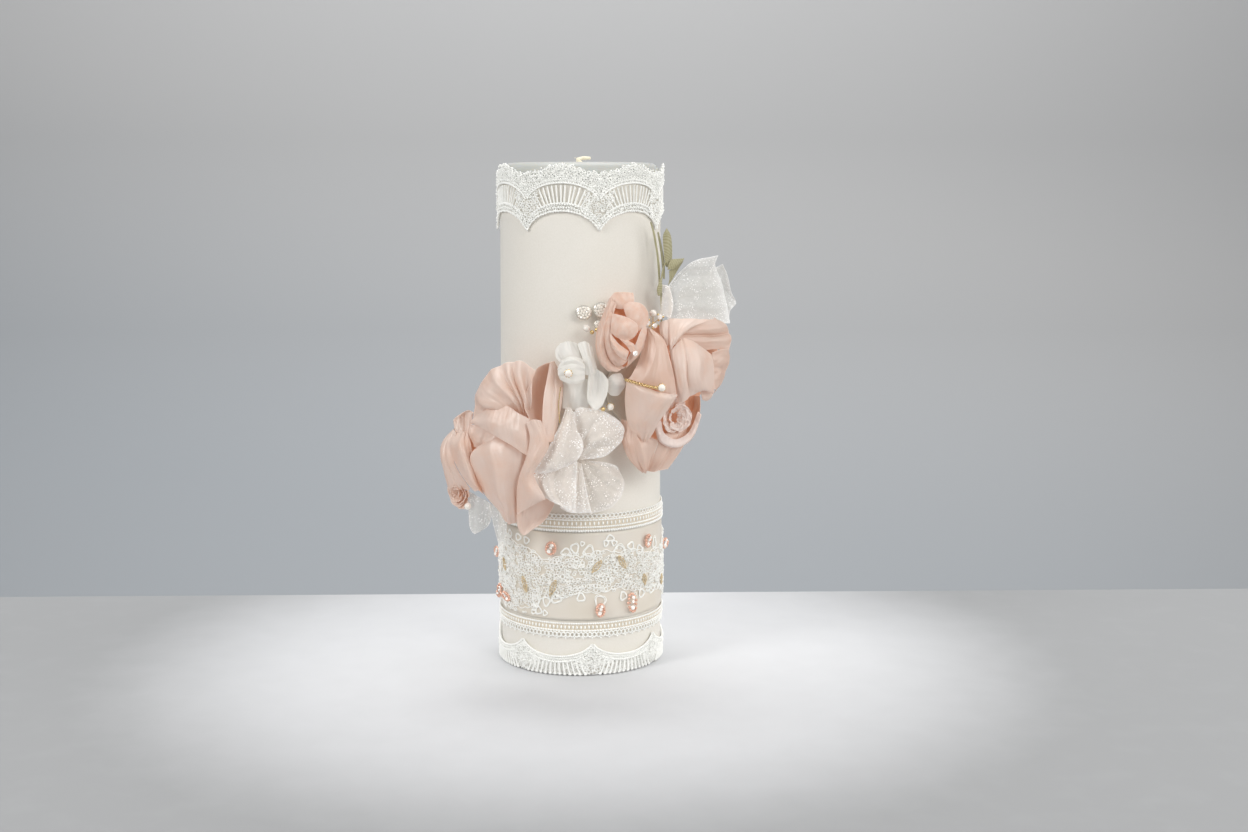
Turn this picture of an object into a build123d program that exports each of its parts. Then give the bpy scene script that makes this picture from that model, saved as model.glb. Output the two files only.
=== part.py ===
from build123d import *
import math
import os

os.makedirs("parts", exist_ok=True)

# A ceremonial pillar candle wrapped in ivory cloth, trimmed with lace and braid, with a spray of
# ribbon roses, organza, pearls and leaves pinned across its front.
# Frame: millimetres, +Z up, origin on the candle's axis where it stands on the table.
# The front faces -Y. A "facing" angle is measured from the front, positive towards +X.

# ---------------------------------------------------------------- driving dimensions
WAX_RADIUS = 35.0          # a 70 x 220 pillar candle
WAX_HEIGHT = 220.0
SHOULDER_RADIUS = 4.5      # rounding of the top edge
FOOT_CHAMFER = 0.8

WICK_RADIUS = 1.1
WICK_HEAD_RADIUS = 0.95
WICK_BORE_RADIUS = 1.2
WICK_STAND = 2.4           # height of the trimmed wick's bend above the wax
WICK_LEAN = 4.2            # how far its head lies over towards +X
SUSTAINER_RADIUS = 9.0
SUSTAINER_THICKNESS = 0.4
SUSTAINER_COLLAR_RADIUS = 2.0
SUSTAINER_COLLAR_HEIGHT = 4.0
SUSTAINER_GAP = 0.2

TAPE_THICKNESS = 0.12
TAPE_WIDTH = 12.0
WRAP_INNER_RADIUS = WAX_RADIUS + TAPE_THICKNESS + 0.06
WRAP_THICKNESS = 0.42
WRAP_RADIUS = WRAP_INNER_RADIUS + WRAP_THICKNESS
WRAP_BOTTOM = 0.3
WRAP_TOP = 212.5
WRAP_LAP_THICKNESS = 0.2   # the turned edge of the wrap, lapped at the back
WRAP_LAP_WIDTH = 12.0

TRIM_INNER_RADIUS = 35.9
LACE_THICKNESS = 1.1
BRAID_THICKNESS = 1.5
PANEL_THICKNESS = 0.9

TOP_LACE_TOP = 216.0
TOP_LACE_TIP = 191.2
TOP_LACE_SCALLOP = 199.4   # underside of a scallop at its middle
TOP_LACE_PITCH = 53.8      # degrees from tip to tip
TOP_LACE_FIRST_TIP = 14.8  # facing of the tip nearest the front
TOP_LACE_TIPS = 7

HEM_LACE_BOTTOM = 0.3
HEM_LACE_TIP = 15.0
HEM_LACE_SCALLOP = 8.0
HEM_LACE_PITCH = 48.7
HEM_LACE_FIRST_TIP = 7.8
HEM_LACE_TIPS = 8

UPPER_BRAID = (62.7, 70.4)     # lowest and highest z
BEADED_PANEL = (24.2, 62.0)
LOWER_BRAID = (15.8, 23.4)

TRIM_RADIUS = TRIM_INNER_RADIUS + BRAID_THICKNESS
SPRAY_CLEARANCE = 0.35         # between the trims and whatever is pinned over them
SPRAY_RADIUS = TRIM_RADIUS + SPRAY_CLEARANCE
PIECE_GAP = 0.3                # between one petal and the next
PETAL_THICKNESS = 1.8
FELT_THICKNESS = 1.2


# ---------------------------------------------------------------- helpers
def ring(inner, outer, low, high):
    """A plain tube about the candle's axis."""
    tube = Cylinder(outer, high - low) - Cylinder(inner, high - low + 1)
    return Pos(0, 0, (low + high) / 2) * tube


def around(radius, facing, z):
    """The point at a radius and facing angle, at height z."""
    angle = math.radians(facing)
    return Vector(radius * math.sin(angle), -radius * math.cos(angle), z)


def facing_plane(centre, facing, roll=0.0, tilt=0.0):
    """A plane at centre whose normal looks out at the facing angle, tipped up by tilt."""
    f, t = math.radians(facing), math.radians(tilt)
    normal = Vector(math.sin(f) * math.cos(t), -math.cos(f) * math.cos(t), math.sin(t))
    across = Vector(math.cos(f), math.sin(f), 0)
    upward = normal.cross(across)
    r = math.radians(roll)
    return Plane(centre, x_dir=across * math.cos(r) + upward * math.sin(r), z_dir=normal)


def slab(centre, width, height, facing=0.0, roll=0.0, tilt=0.0, thick=PETAL_THICKNESS, grow=0.0):
    """A flat oval of cloth seen face on from its facing angle."""
    plane = facing_plane(centre, facing, roll, tilt)
    oval = plane * Ellipse(width / 2 + grow, height / 2 + grow)
    return extrude(oval, thick / 2 + grow, both=True, dir=plane.z_dir)


def puck(centre, radius, depth, facing=0.0, grow=0.0):
    """A short round rosette lying on its back against the candle."""
    plane = facing_plane(centre, facing)
    disc = extrude(plane * Circle(radius + grow), depth / 2 + grow, both=True, dir=plane.z_dir)
    if grow:
        return disc
    return fillet(disc.edges().filter_by(GeomType.CIRCLE), depth * 0.3)


def rod(start, end, radius, grow=0.0):
    """A straight stem between two points."""
    run = Vector(end) - Vector(start)
    plane = Plane(Vector(start) - run.normalized() * grow, z_dir=run)
    return extrude(plane * Circle(radius + grow), run.length + 2 * grow)


def ball(centre, radius, grow=0.0):
    return Pos(*centre) * Sphere(radius + grow)


def boxes_meet(a, b):
    """Whether two shapes' bounding boxes overlap."""
    p, q = a.bounding_box(), b.bounding_box()
    apart = (p.max.X < q.min.X or q.max.X < p.min.X or p.max.Y < q.min.Y
             or q.max.Y < p.min.Y or p.max.Z < q.min.Z or q.max.Z < p.min.Z)
    return not apart


def largest(shape):
    return max(shape.solids(), key=lambda s: s.volume)


def save(name, shape):
    export_step(shape, f"parts/{name}.step")


# ---------------------------------------------------------------- the candle itself
def wax_pillar():
    pillar = Pos(0, 0, WAX_HEIGHT / 2) * Cylinder(WAX_RADIUS, WAX_HEIGHT)
    rims = pillar.edges().filter_by(GeomType.CIRCLE).sort_by(Axis.Z)
    pillar = fillet(rims[-1:], SHOULDER_RADIUS)
    foot = pillar.edges().filter_by(GeomType.CIRCLE).sort_by(Axis.Z)[0]
    pillar = chamfer(foot, FOOT_CHAMFER)
    bore = Pos(0, 0, WAX_HEIGHT / 2) * Cylinder(WICK_BORE_RADIUS, WAX_HEIGHT + 2)
    seat_depth = SUSTAINER_THICKNESS + 2 * SUSTAINER_GAP
    seat = Pos(0, 0, seat_depth / 2) * Cylinder(SUSTAINER_RADIUS + SUSTAINER_GAP, seat_depth)
    collar_depth = seat_depth + SUSTAINER_COLLAR_HEIGHT
    collar = Cylinder(SUSTAINER_COLLAR_RADIUS + SUSTAINER_GAP, collar_depth)
    return pillar - bore - seat - Pos(0, 0, collar_depth / 2) * collar


def wick_sustainer():
    base = SUSTAINER_GAP
    plate = Pos(0, 0, base + SUSTAINER_THICKNESS / 2) * Cylinder(SUSTAINER_RADIUS, SUSTAINER_THICKNESS)
    collar = Cylinder(SUSTAINER_COLLAR_RADIUS, SUSTAINER_COLLAR_HEIGHT)
    collar = Pos(0, 0, base + SUSTAINER_THICKNESS + SUSTAINER_COLLAR_HEIGHT / 2) * collar
    bore = Pos(0, 0, WAX_HEIGHT / 2) * Cylinder(WICK_RADIUS + 0.05, WAX_HEIGHT)
    return plate + collar - bore


def wick():
    """The braided cotton core, with its trimmed end bent over at the top."""
    bend_z = WAX_HEIGHT + WICK_STAND
    stem = rod((0, 0, SUSTAINER_GAP + 0.2), (0, 0, bend_z), WICK_RADIUS)
    head = rod((-1.2, 0, bend_z - 0.4), (WICK_LEAN, 0, bend_z - 0.5), WICK_HEAD_RADIUS)
    return stem + head


def fabric_wrap():
    """One cloth round the candle, its free edge lapped over itself at the back."""
    lap_angle = math.degrees(WRAP_LAP_WIDTH / WRAP_RADIUS)
    lap = ring(WRAP_RADIUS - 0.1, WRAP_RADIUS + WRAP_LAP_THICKNESS, WRAP_BOTTOM, WRAP_TOP)
    wedge = Pos(0, 0, WRAP_BOTTOM) * extrude(make_wedge(lap_angle), WRAP_TOP)
    return ring(WRAP_INNER_RADIUS, WRAP_RADIUS, WRAP_BOTTOM, WRAP_TOP) + (lap & wedge)


def make_wedge(angle):
    """A flat triangle from the axis out past the back of the candle, angle wide."""
    reach = WRAP_RADIUS * 1.3
    half = reach * math.tan(math.radians(angle / 2))
    return make_face(Polyline((0, 0), (half, reach), (-half, reach), close=True))


def scalloped_ring(low, high, scallop, tip, pitch, first_tip, tips):
    """A lace band whose edge at z = tip is cut into arcs that reach z = scallop at their middles."""
    band = ring(TRIM_INNER_RADIUS, TRIM_INNER_RADIUS + LACE_THICKNESS, low, high)
    half_width = math.radians(pitch / 2) * TRIM_INNER_RADIUS
    rise = abs(scallop - tip)
    radius = (half_width ** 2 + rise ** 2) / (2 * rise)
    side = 1 if scallop > tip else -1
    for i in range(tips - 1):
        facing = first_tip + (i + 0.5 - tips // 2) * pitch
        plane = facing_plane(around(0, facing, scallop - side * radius), facing)
        drill = extrude(plane * Circle(radius), TRIM_RADIUS * 1.2)
        band = band - drill
    return band


# ---------------------------------------------------------------- beads, brooch and stems
# Rose-gold sequin cups sewn to the beaded panel: facing, z, width, height, roll
SEQUIN_CUPS = [
    (-87, 46.5, 3.6, 4.4, 0), (-74, 31.0, 2.8, 6.0, -8), (-61, 30.4, 3.0, 5.2, 60),
    (-20, 55.4, 4.4, 5.6, -12), (12.8, 28.8, 3.8, 5.6, 0), (36, 30.4, 4.6, 8.4, 8),
    (51, 55.8, 3.6, 5.4, -12), (86, 50.0, 4.4, 4.4, 0), (124, 31.5, 4.4, 8.0, 8),
    (150, 54.0, 4.2, 5.6, -10), (178, 29.5, 3.8, 5.6, 0), (207, 52.0, 4.2, 5.6, 12),
    (236, 30.0, 4.0, 6.6, -8),
]
# Long khaki bead hearts of the panel's corded flowers: facing, z, length, roll
BEAD_HEARTS = [
    (-65, 44.0, 5.6, 30), (-41, 38.2, 7.2, 20), (-19, 38.0, 7.6, -20), (10.5, 47.6, 6.4, -40),
    (28.5, 48.6, 7.0, 30), (48, 39.2, 5.0, 10), (74, 35.5, 4.6, 0), (100, 42.0, 6.4, 24),
    (126, 47.0, 6.4, -30), (148, 39.0, 6.4, 20), (172, 46.0, 6.4, -24), (198, 38.0, 6.4, 30),
    (222, 45.0, 6.4, -20), (248, 42.5, 6.4, 26), (262, 35.5, 6.4, -26),
]
PANEL_FACE = TRIM_INNER_RADIUS + PANEL_THICKNESS
CUP_DEPTH = 1.0
CRYSTAL_RADIUS = 0.75


def sequin_cups():
    cups = []
    for facing, z, width, height, roll in SEQUIN_CUPS:
        centre = around(PANEL_FACE + 0.25 + CUP_DEPTH / 2, facing, z)
        cups.append(slab(centre, width, height, facing, roll, thick=CUP_DEPTH))
    return Compound(children=cups)


def cup_crystals():
    out = PANEL_FACE + 0.3 + CUP_DEPTH + CRYSTAL_RADIUS
    return Compound(children=[ball(around(out, f, z), CRYSTAL_RADIUS) for f, z, w, h, r in SEQUIN_CUPS])


def bead_hearts():
    width, depth = 2.0, 0.9
    hearts = []
    for facing, z, length, roll in BEAD_HEARTS:
        centre = around(PANEL_FACE + 0.25 + depth / 2, facing, z)
        hearts.append(slab(centre, width, length, facing, roll, thick=depth))
    return Compound(children=hearts)


BROOCH_PETALS = [(1.4, 156.6, 7.0, 6.4), (8.4, 157.6, 6.4, 7.0), (7.6, 151.4, 4.4, 4.4)]
BROOCH_HUB = (5.4, 154.0)
BROOCH_DEPTH = 1.2
STONE_DEPTH = 0.8


def brooch_facing(x):
    return math.degrees(math.asin(x / SPRAY_RADIUS))


def brooch_layer(standoff, depth, shrink, grow=0.0):
    """One layer of the brooch's three petals: the metal, or the stones that cover it."""
    petals = []
    for x, z, width, height in BROOCH_PETALS:
        facing = brooch_facing(x)
        centre = around(SPRAY_RADIUS + standoff + depth / 2, facing, z)
        petals.append(slab(centre, width - shrink, height - shrink, facing, thick=depth, grow=grow))
    return petals


def brooch_setting():
    middle = SPRAY_RADIUS + BROOCH_DEPTH / 2
    hub = around(middle, brooch_facing(BROOCH_HUB[0]), BROOCH_HUB[1])
    setting = ball(hub, BROOCH_DEPTH / 2)
    for petal, (x, z, width, height) in zip(brooch_layer(0.0, BROOCH_DEPTH, 0.0), BROOCH_PETALS):
        setting = setting + petal + rod(around(middle, brooch_facing(x), z), hub, BROOCH_DEPTH / 2 - 0.05)
    return setting


def brooch_stones():
    return Compound(children=brooch_layer(BROOCH_DEPTH + 0.1, STONE_DEPTH, 0.8))


PEARL_RADIUS = 1.5
PEARLS = [
    (2.6, -42.5, 150.4), (-5.0, -57.5, 133.0), (12.4, -47.5, 117.8), (33.4, -57.5, 127.0),
    (30.6, -38.0, 156.2), (-47.6, -41.5, 75.0),
]
GOLD_BEAD_RADIUS = 0.95
GOLD_BEADS = [(4.8, -41.8, 148.6), (6.9, -41.6, 149.6), (-3.8, -47.6, 97.8), (9.4, -49.4, 117.2)]
GILT_STEMS = [((18.4, -50.0, 129.6), (31.4, -57.0, 127.0), 0.8),
              ((-8.6, -53.8, 112.0), (-8.2, -53.6, 127.0), 0.45)]
SPRAY_WIRE = ((30.0, -31.6, 147.0), (31.2, -36.0, 154.0), 0.4)
SPRAY_CRYSTALS = [(33.6, -37.0, 154.4), (28.4, -37.4, 152.0), (31.4, -38.4, 151.0), (22.6, -55.4, 141.0)]
SPRAY_CRYSTAL_RADIUS = 1.0

# ---------------------------------------------------------------- cloth petals, from the front back
# node, centre, width, height, facing, roll. Rows of one name are separate solids in one node.
PETALS = [
    ("blossom_lip_petal", (0.2, -53.0, 131.4), 13.0, 9.0, 0, 0),
    ("blossom_right_petal", (10.4, -50.0, 125.4), 8.6, 16.0, 12, 12),
    ("blossom_cup_petal", (-2.6, -47.6, 137.6), 15.0, 14.0, -4, 0),
    ("blossom_upright_petal", (7.8, -46.0, 138.4), 7.4, 14.0, 10, 8),
    ("blossom_back_petals", (15.6, -44.6, 126.4), 8.4, 10.0, 20, 0),
    ("blossom_back_petals", (1.8, -45.6, 121.8), 11.6, 11.0, 0, 0),
    ("organza_curled_petal", (-7.6, -55.0, 107.6), 13.6, 21.0, -10, -14),
    ("organza_upper_petal", (6.4, -49.0, 107.8), 17.0, 15.0, 8, 0),
    ("organza_lower_left_petal", (-12.2, -52.6, 87.4), 17.0, 21.0, -14, 28),
    ("organza_bottom_petal", (-2.6, -48.2, 83.6), 12.0, 24.0, 0, 0),
    ("organza_sheer_petal", (9.0, -44.6, 85.2), 17.0, 19.0, 10, 20),
    ("bud_face_petal", (19.0, -52.4, 149.6), 11.4, 13.6, 18, 0),
    ("bud_lip_petals", (16.2, -53.0, 140.4), 11.0, 9.0, 14, 20),
    ("bud_left_petals", (9.8, -46.6, 146.6), 8.4, 25.0, 4, 6),
    ("bud_upper_petals", (24.4, -45.0, 152.6), 12.0, 16.0, 26, -16),
    ("bud_upper_petals", (17.6, -43.0, 160.6), 11.6, 9.0, 14, 0),
    ("right_rose_left_petal", (29.6, -52.0, 137.6), 18.0, 27.0, 24, -10),
    ("right_rose_lower_petal", (26.8, -51.6, 113.6), 19.0, 26.0, 22, 8),
    ("right_rose_centre_petal", (48.0, -43.6, 132.0), 22.0, 34.0, 40, -6),
    ("right_rose_flap", (43.6, -37.0, 149.6), 26.0, 11.0, 38, 0),
    ("right_rose_bottom_petal", (26.8, -45.4, 97.0), 17.0, 17.0, 26, 24),
    ("right_rose_side_petal", (39.0, -37.6, 97.4), 13.0, 20.0, 44, -14),
    ("right_rose_frill", (60.6, -22.6, 130.0), 12.0, 26.0, 58, -8),
    ("right_rose_inner_fold", (57.4, -25.4, 148.0), 17.0, 11.0, 52, 0),
    ("left_rose_tip_petal", (-18.2, -57.6, 82.8), 10.6, 34.0, -20, -16),
    ("left_rose_band", (-30.6, -53.6, 105.4), 34.0, 10.0, -34, -14),
    ("left_rose_lower_petal", (-34.4, -51.6, 85.6), 24.0, 38.0, -36, 12),
    ("left_rose_loop", (-11.4, -55.0, 124.6), 9.4, 26.0, -14, 0),
    ("left_rose_fan", (-31.4, -46.8, 123.6), 32.0, 25.0, -36, 10),
    ("left_rose_rolled_petal", (-47.6, -40.8, 95.6), 9.6, 34.0, -52, 14),
    ("left_rose_outer_petal", (-55.2, -31.0, 90.8), 9.6, 30.0, -62, 4),
    ("left_rose_frill", (-50.4, -31.6, 111.6), 13.0, 8.0, -56, 0),
    ("organza_tails", (-43.6, -30.6, 68.0), 12.0, 21.0, -52, 12),
    ("organza_tails", (-35.0, -37.0, 64.6), 9.0, 19.0, -44, -6),
    ("organza_bow_front", (49.2, -23.4, 165.4), 27.0, 25.0, 52, 24),
    ("organza_bow_back", (53.4, -15.6, 163.4), 27.0, 27.0, 58, 4),
]
RUCHED_ROSES = [
    ("small_ruched_rose", (-52.6, -29.4, 78.4), 7.4, 6.0, -58),
    ("inner_small_rose", (40.4, -40.6, 110.6), 8.6, 6.0, 44),
]
FELT_DISCS = [(-37.0, 101.0, 17.0), (3.0, 126.0, 8.0), (42.0, 124.0, 17.0)]  # facing, z, radius
LEAVES = [
    ("blade_leaves", (31.9, -24.6, 184.4), 2.2, 22.0, 52, -8),
    ("blade_leaves", (35.2, -24.0, 181.6), 1.8, 17.0, 56, 4),
    ("broad_leaves", (38.0, -24.8, 184.4), 4.6, 14.6, 50, -4),
    ("broad_leaves", (41.2, -26.6, 174.6), 9.4, 6.0, 46, 30),
    ("broad_leaves", (35.0, -29.6, 166.4), 3.4, 8.0, 44, 4),
]
LEAF_THICKNESS = 0.7
SPRIG_STEM = ((35.6, -24.4, 150.0), (36.2, -24.2, 172.4), 0.7)

# ---------------------------------------------------------------- build: the candle and its trims
save("wax_pillar", wax_pillar())
save("wick_sustainer", wick_sustainer())
save("wick", wick())
tape_starts = (2.0, WRAP_TOP - TAPE_WIDTH - 1.5)
save("tape_bands", Compound(children=[
    ring(WAX_RADIUS + 0.03, WAX_RADIUS + TAPE_THICKNESS, z, z + TAPE_WIDTH) for z in tape_starts]))
save("fabric_wrap", fabric_wrap())
save("top_lace_trim", scalloped_ring(TOP_LACE_TIP, TOP_LACE_TOP, TOP_LACE_SCALLOP, TOP_LACE_TIP,
                                     TOP_LACE_PITCH, TOP_LACE_FIRST_TIP, TOP_LACE_TIPS))
save("hem_lace_trim", scalloped_ring(HEM_LACE_BOTTOM, HEM_LACE_TIP, HEM_LACE_SCALLOP, HEM_LACE_TIP,
                                     HEM_LACE_PITCH, HEM_LACE_FIRST_TIP, HEM_LACE_TIPS))
save("upper_braid", ring(TRIM_INNER_RADIUS, TRIM_RADIUS, *UPPER_BRAID))
save("lower_braid", ring(TRIM_INNER_RADIUS, TRIM_RADIUS, *LOWER_BRAID))
save("beaded_lace_panel", ring(TRIM_INNER_RADIUS, PANEL_FACE, *BEADED_PANEL))
save("sequin_cups", sequin_cups())
save("cup_crystals", cup_crystals())
save("bead_hearts", bead_hearts())
save("brooch_setting", brooch_setting())
save("brooch_stones", brooch_stones())

# ---------------------------------------------------------------- build: the spray
# Each piece is cut clear of the trims and of the pieces placed before it.
keep_out = [Pos(0, 0, WAX_HEIGHT / 2) * Cylinder(SPRAY_RADIUS, WAX_HEIGHT + 20)]
keep_out += brooch_layer(0.0, BROOCH_DEPTH + STONE_DEPTH + 0.1, 0.0, grow=PIECE_GAP)
pinned = {}


def pin(name, build):
    """Adds build(0), cut clear, to a node, and keeps later pieces clear of build(gap)."""
    shape = build(0.0)
    for other in keep_out:
        if boxes_meet(shape, other):
            shape = shape - other
    pinned.setdefault(name, []).append(largest(shape))
    keep_out.append(build(PIECE_GAP))


def felt_disc(facing, z, radius, grow):
    """A round of felt bent to the candle's front."""
    drum = facing_plane(Vector(0, 0, z), facing)
    column = extrude(drum * Circle(radius + grow), SPRAY_RADIUS * 1.5)
    reach = radius + grow + 1
    return ring(SPRAY_RADIUS, SPRAY_RADIUS + FELT_THICKNESS + grow, z - reach, z + reach) & column


for facing, z, radius in FELT_DISCS:
    pin("felt_discs", lambda g: felt_disc(facing, z, radius, g))
for centre in PEARLS:
    pin("pearls", lambda g: ball(centre, PEARL_RADIUS, g))
for centre in GOLD_BEADS:
    pin("gold_beads", lambda g: ball(centre, GOLD_BEAD_RADIUS, g))
for start, end, radius in GILT_STEMS:
    pin("gilt_stems", lambda g: rod(start, end, radius, g))
for centre in SPRAY_CRYSTALS:
    pin("spray_crystals", lambda g: ball(centre, SPRAY_CRYSTAL_RADIUS, g))
pin("spray_wire", lambda g: rod(*SPRAY_WIRE, g))
pin("sprig_stem", lambda g: rod(*SPRIG_STEM, g))
for name, centre, radius, depth, facing in RUCHED_ROSES:
    pin(name, lambda g: puck(centre, radius, depth, facing, g))
for name, centre, width, height, facing, roll in LEAVES:
    pin(name, lambda g: slab(centre, width, height, facing, roll, thick=LEAF_THICKNESS, grow=g))
for name, centre, width, height, facing, roll in PETALS:
    pin(name, lambda g: slab(centre, width, height, facing, roll, grow=g))

for name, solids in pinned.items():
    save(name, solids[0] if len(solids) == 1 else Compound(children=solids))
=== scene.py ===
import math
import random

import bmesh
import bpy
from bpy.props import FloatProperty, FloatVectorProperty, IntProperty, PointerProperty
from bpy.types import Operator, Panel, PropertyGroup
from mathutils import Matrix, Vector, noise


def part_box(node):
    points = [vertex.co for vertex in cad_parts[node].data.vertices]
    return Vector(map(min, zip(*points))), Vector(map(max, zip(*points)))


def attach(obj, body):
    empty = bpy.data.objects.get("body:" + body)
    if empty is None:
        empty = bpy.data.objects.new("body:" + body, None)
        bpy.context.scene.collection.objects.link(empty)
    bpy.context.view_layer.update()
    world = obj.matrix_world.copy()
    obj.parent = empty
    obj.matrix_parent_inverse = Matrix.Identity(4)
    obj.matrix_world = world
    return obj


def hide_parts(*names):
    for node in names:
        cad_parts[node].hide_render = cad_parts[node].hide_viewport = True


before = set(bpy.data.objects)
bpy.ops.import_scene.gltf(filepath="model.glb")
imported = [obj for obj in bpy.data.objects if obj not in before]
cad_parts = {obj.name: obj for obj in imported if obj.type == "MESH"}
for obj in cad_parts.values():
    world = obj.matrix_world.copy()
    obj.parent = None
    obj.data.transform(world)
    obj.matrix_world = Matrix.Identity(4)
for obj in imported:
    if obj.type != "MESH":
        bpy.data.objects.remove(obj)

bl_info = {
    "name": "Dressed Unity Candle",
    "version": (1, 0, 0),
    "blender": (4, 5, 0),
    "location": "3D View > Sidebar > Candle",
    "description": "Dresses a pillar candle in cloth, lace and braid, with ribbon roses pinned across it",
    "category": "Add Mesh",
}

# Places and sizes are in millimetres, and are multiplied by MM where a mesh is written.
# +Z is up, the candle stands on Z = 0 about the Z axis, and its front faces -Y.
# A facing angle is measured in degrees from the front, positive towards +X.
MM = 0.001
TURN = 2 * math.pi
GOLDEN_ANGLE = 137.5   # degrees
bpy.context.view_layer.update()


def ring_span(node):
    """The lowest z, the highest z and the outer radius of a ring of the frame."""
    low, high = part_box(node)
    return low.z / MM, high.z / MM, high.x / MM


_, WAX_TOP, _ = ring_span("wax_pillar")
WRAP_LOW, WRAP_TOP, WRAP_RADIUS = ring_span("fabric_wrap")
TOP_LACE_TIP, _, _ = ring_span("top_lace_trim")
HEM_LOW, HEM_TIP, _ = ring_span("hem_lace_trim")
UPPER_BRAID_LOW, UPPER_BRAID_TOP, BRAID_RADIUS = ring_span("upper_braid")
LOWER_BRAID_LOW, LOWER_BRAID_TOP, _ = ring_span("lower_braid")
PANEL_LOW, PANEL_TOP, PANEL_RADIUS = ring_span("beaded_lace_panel")
TRIM_INSIDE = WRAP_RADIUS + 0.3      # inner face of every trim
SPRAY_RADIUS = BRAID_RADIUS + 0.35   # nothing pinned on comes nearer to the axis
LEAST_CUT = 10.0                     # least width or length of a flat sheet

# Both laces repeat this often round the candle, and one tip of each has this facing
LACE_REPEATS = 7
LACE_PITCH = 360 / LACE_REPEATS
TOP_TIP_FACING, HEM_TIP_FACING = 12.8, 7.8
PICOT_STEP = 1.36                    # between the small loops of their nets


def srgb(red, green, blue):
    """A colour given as 0 to 255 display values, made linear."""
    def linear(value):
        value /= 255
        return value / 12.92 if value <= 0.04045 else ((value + 0.055) / 1.055) ** 2.4
    return tuple(linear(v) for v in (red, green, blue))


def colour_property(name, description, red, green, blue):
    """A colour that the user may change. Its default is given as 0 to 255 display values."""
    return FloatVectorProperty(name=name, description=description, subtype="COLOR", size=3,
                               min=0.0, max=1.0, default=srgb(red, green, blue))


class CandleColours(PropertyGroup):
    """The colours of the candle's materials"""
    wax: colour_property("Wax", "The pillar's wax", 188, 190, 187)
    ivory: colour_property("Ivory", "The cloth wrapped round the pillar", 238, 234, 226)
    lace: colour_property("Lace", "Lace and braid thread", 246, 246, 242)
    tulle: colour_property("Tulle", "The ground of the beaded panel", 226, 219, 208)
    blush: colour_property("Blush", "Satin ribbon roses", 225, 213, 203)
    # deep_blush is mixed into the satin in cloudy patches by noise.
    deep_blush: colour_property("Deep blush", "The satin inside its folds", 221, 182, 156)
    chiffon: colour_property("Chiffon", "The rosebud", 240, 222, 210)
    white: colour_property("White", "White satin blossom", 247, 245, 240)
    organza: colour_property("Organza", "Glittered organza", 236, 230, 223)
    leaf: colour_property("Leaf", "Sage cloth leaves", 176, 170, 138)
    rose_gold: colour_property("Rose gold", "Sequin cups", 236, 190, 168)
    khaki: colour_property("Khaki", "Long bead hearts", 220, 200, 164)
    gold: colour_property("Gold", "Gold beads and stems", 230, 204, 150)
    felt: colour_property("Felt", "Backing rounds", 222, 214, 200)
    cotton: colour_property("Cotton", "The wick", 240, 232, 208)


class CandleSizes(PropertyGroup):
    """The sizes that the candle's pieces share"""
    satin: FloatProperty(name="Satin thickness", description="Thickness of a ribbon petal in mm",
                         default=0.25, min=0.1, max=1.0)
    sheer: FloatProperty(name="Sheer thickness", description="Thickness of organza in mm",
                         default=0.16, min=0.05, max=0.5)
    seed_bead: FloatProperty(name="Seed bead", description="Radius of a seed bead in mm",
                             default=0.36, min=0.2, max=0.8)
    petal_cells: IntProperty(name="Petal cells", description="Cells along each side of a petal",
                             default=30, min=8, max=60)
    lens: FloatProperty(name="Lens", description="The camera's focal length", default=44.77,
                        min=20.0, max=200.0, unit="CAMERA")


def sizes():
    return bpy.context.scene.candle_sizes


def chosen(name):
    """One of the user's colours."""
    return tuple(getattr(bpy.context.scene.candle_colours, name))


def dimmed(colour, red, green=None, blue=None):
    """A colour with its channels multiplied, all three by red where that is the only share."""
    return tuple(c * share for c, share in zip(colour, (red, green or red, blue or red)))


# ------------------------------------------------------------------------------ shaders
class Link:
    """A shader socket. Arithmetic on it adds Math nodes."""

    def __init__(self, shader, socket):
        self.shader, self.socket = shader, socket

    def math(self, operation, *values):
        return self.shader.node("ShaderNodeMath", {"operation": operation}, dict(enumerate(values)))

    def __add__(self, other):
        return self.math("ADD", self, other)

    def __sub__(self, other):
        return self.math("SUBTRACT", self, other)

    def __rsub__(self, other):
        return self.math("SUBTRACT", other, self)

    def __mul__(self, other):
        return self.math("MULTIPLY", self, other)

    __radd__ = __add__
    __rmul__ = __mul__

    def sine(self):
        return self.math("SINE", self)

    def larger(self, other):
        return self.math("MAXIMUM", self, other)

    def ramp(self, low, high):
        """0 below low, 1 above high, smooth between."""
        return self.shader.node("ShaderNodeMapRange", {"interpolation_type": "SMOOTHSTEP"},
                                {"Value": self, "From Min": low, "From Max": high})


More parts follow.
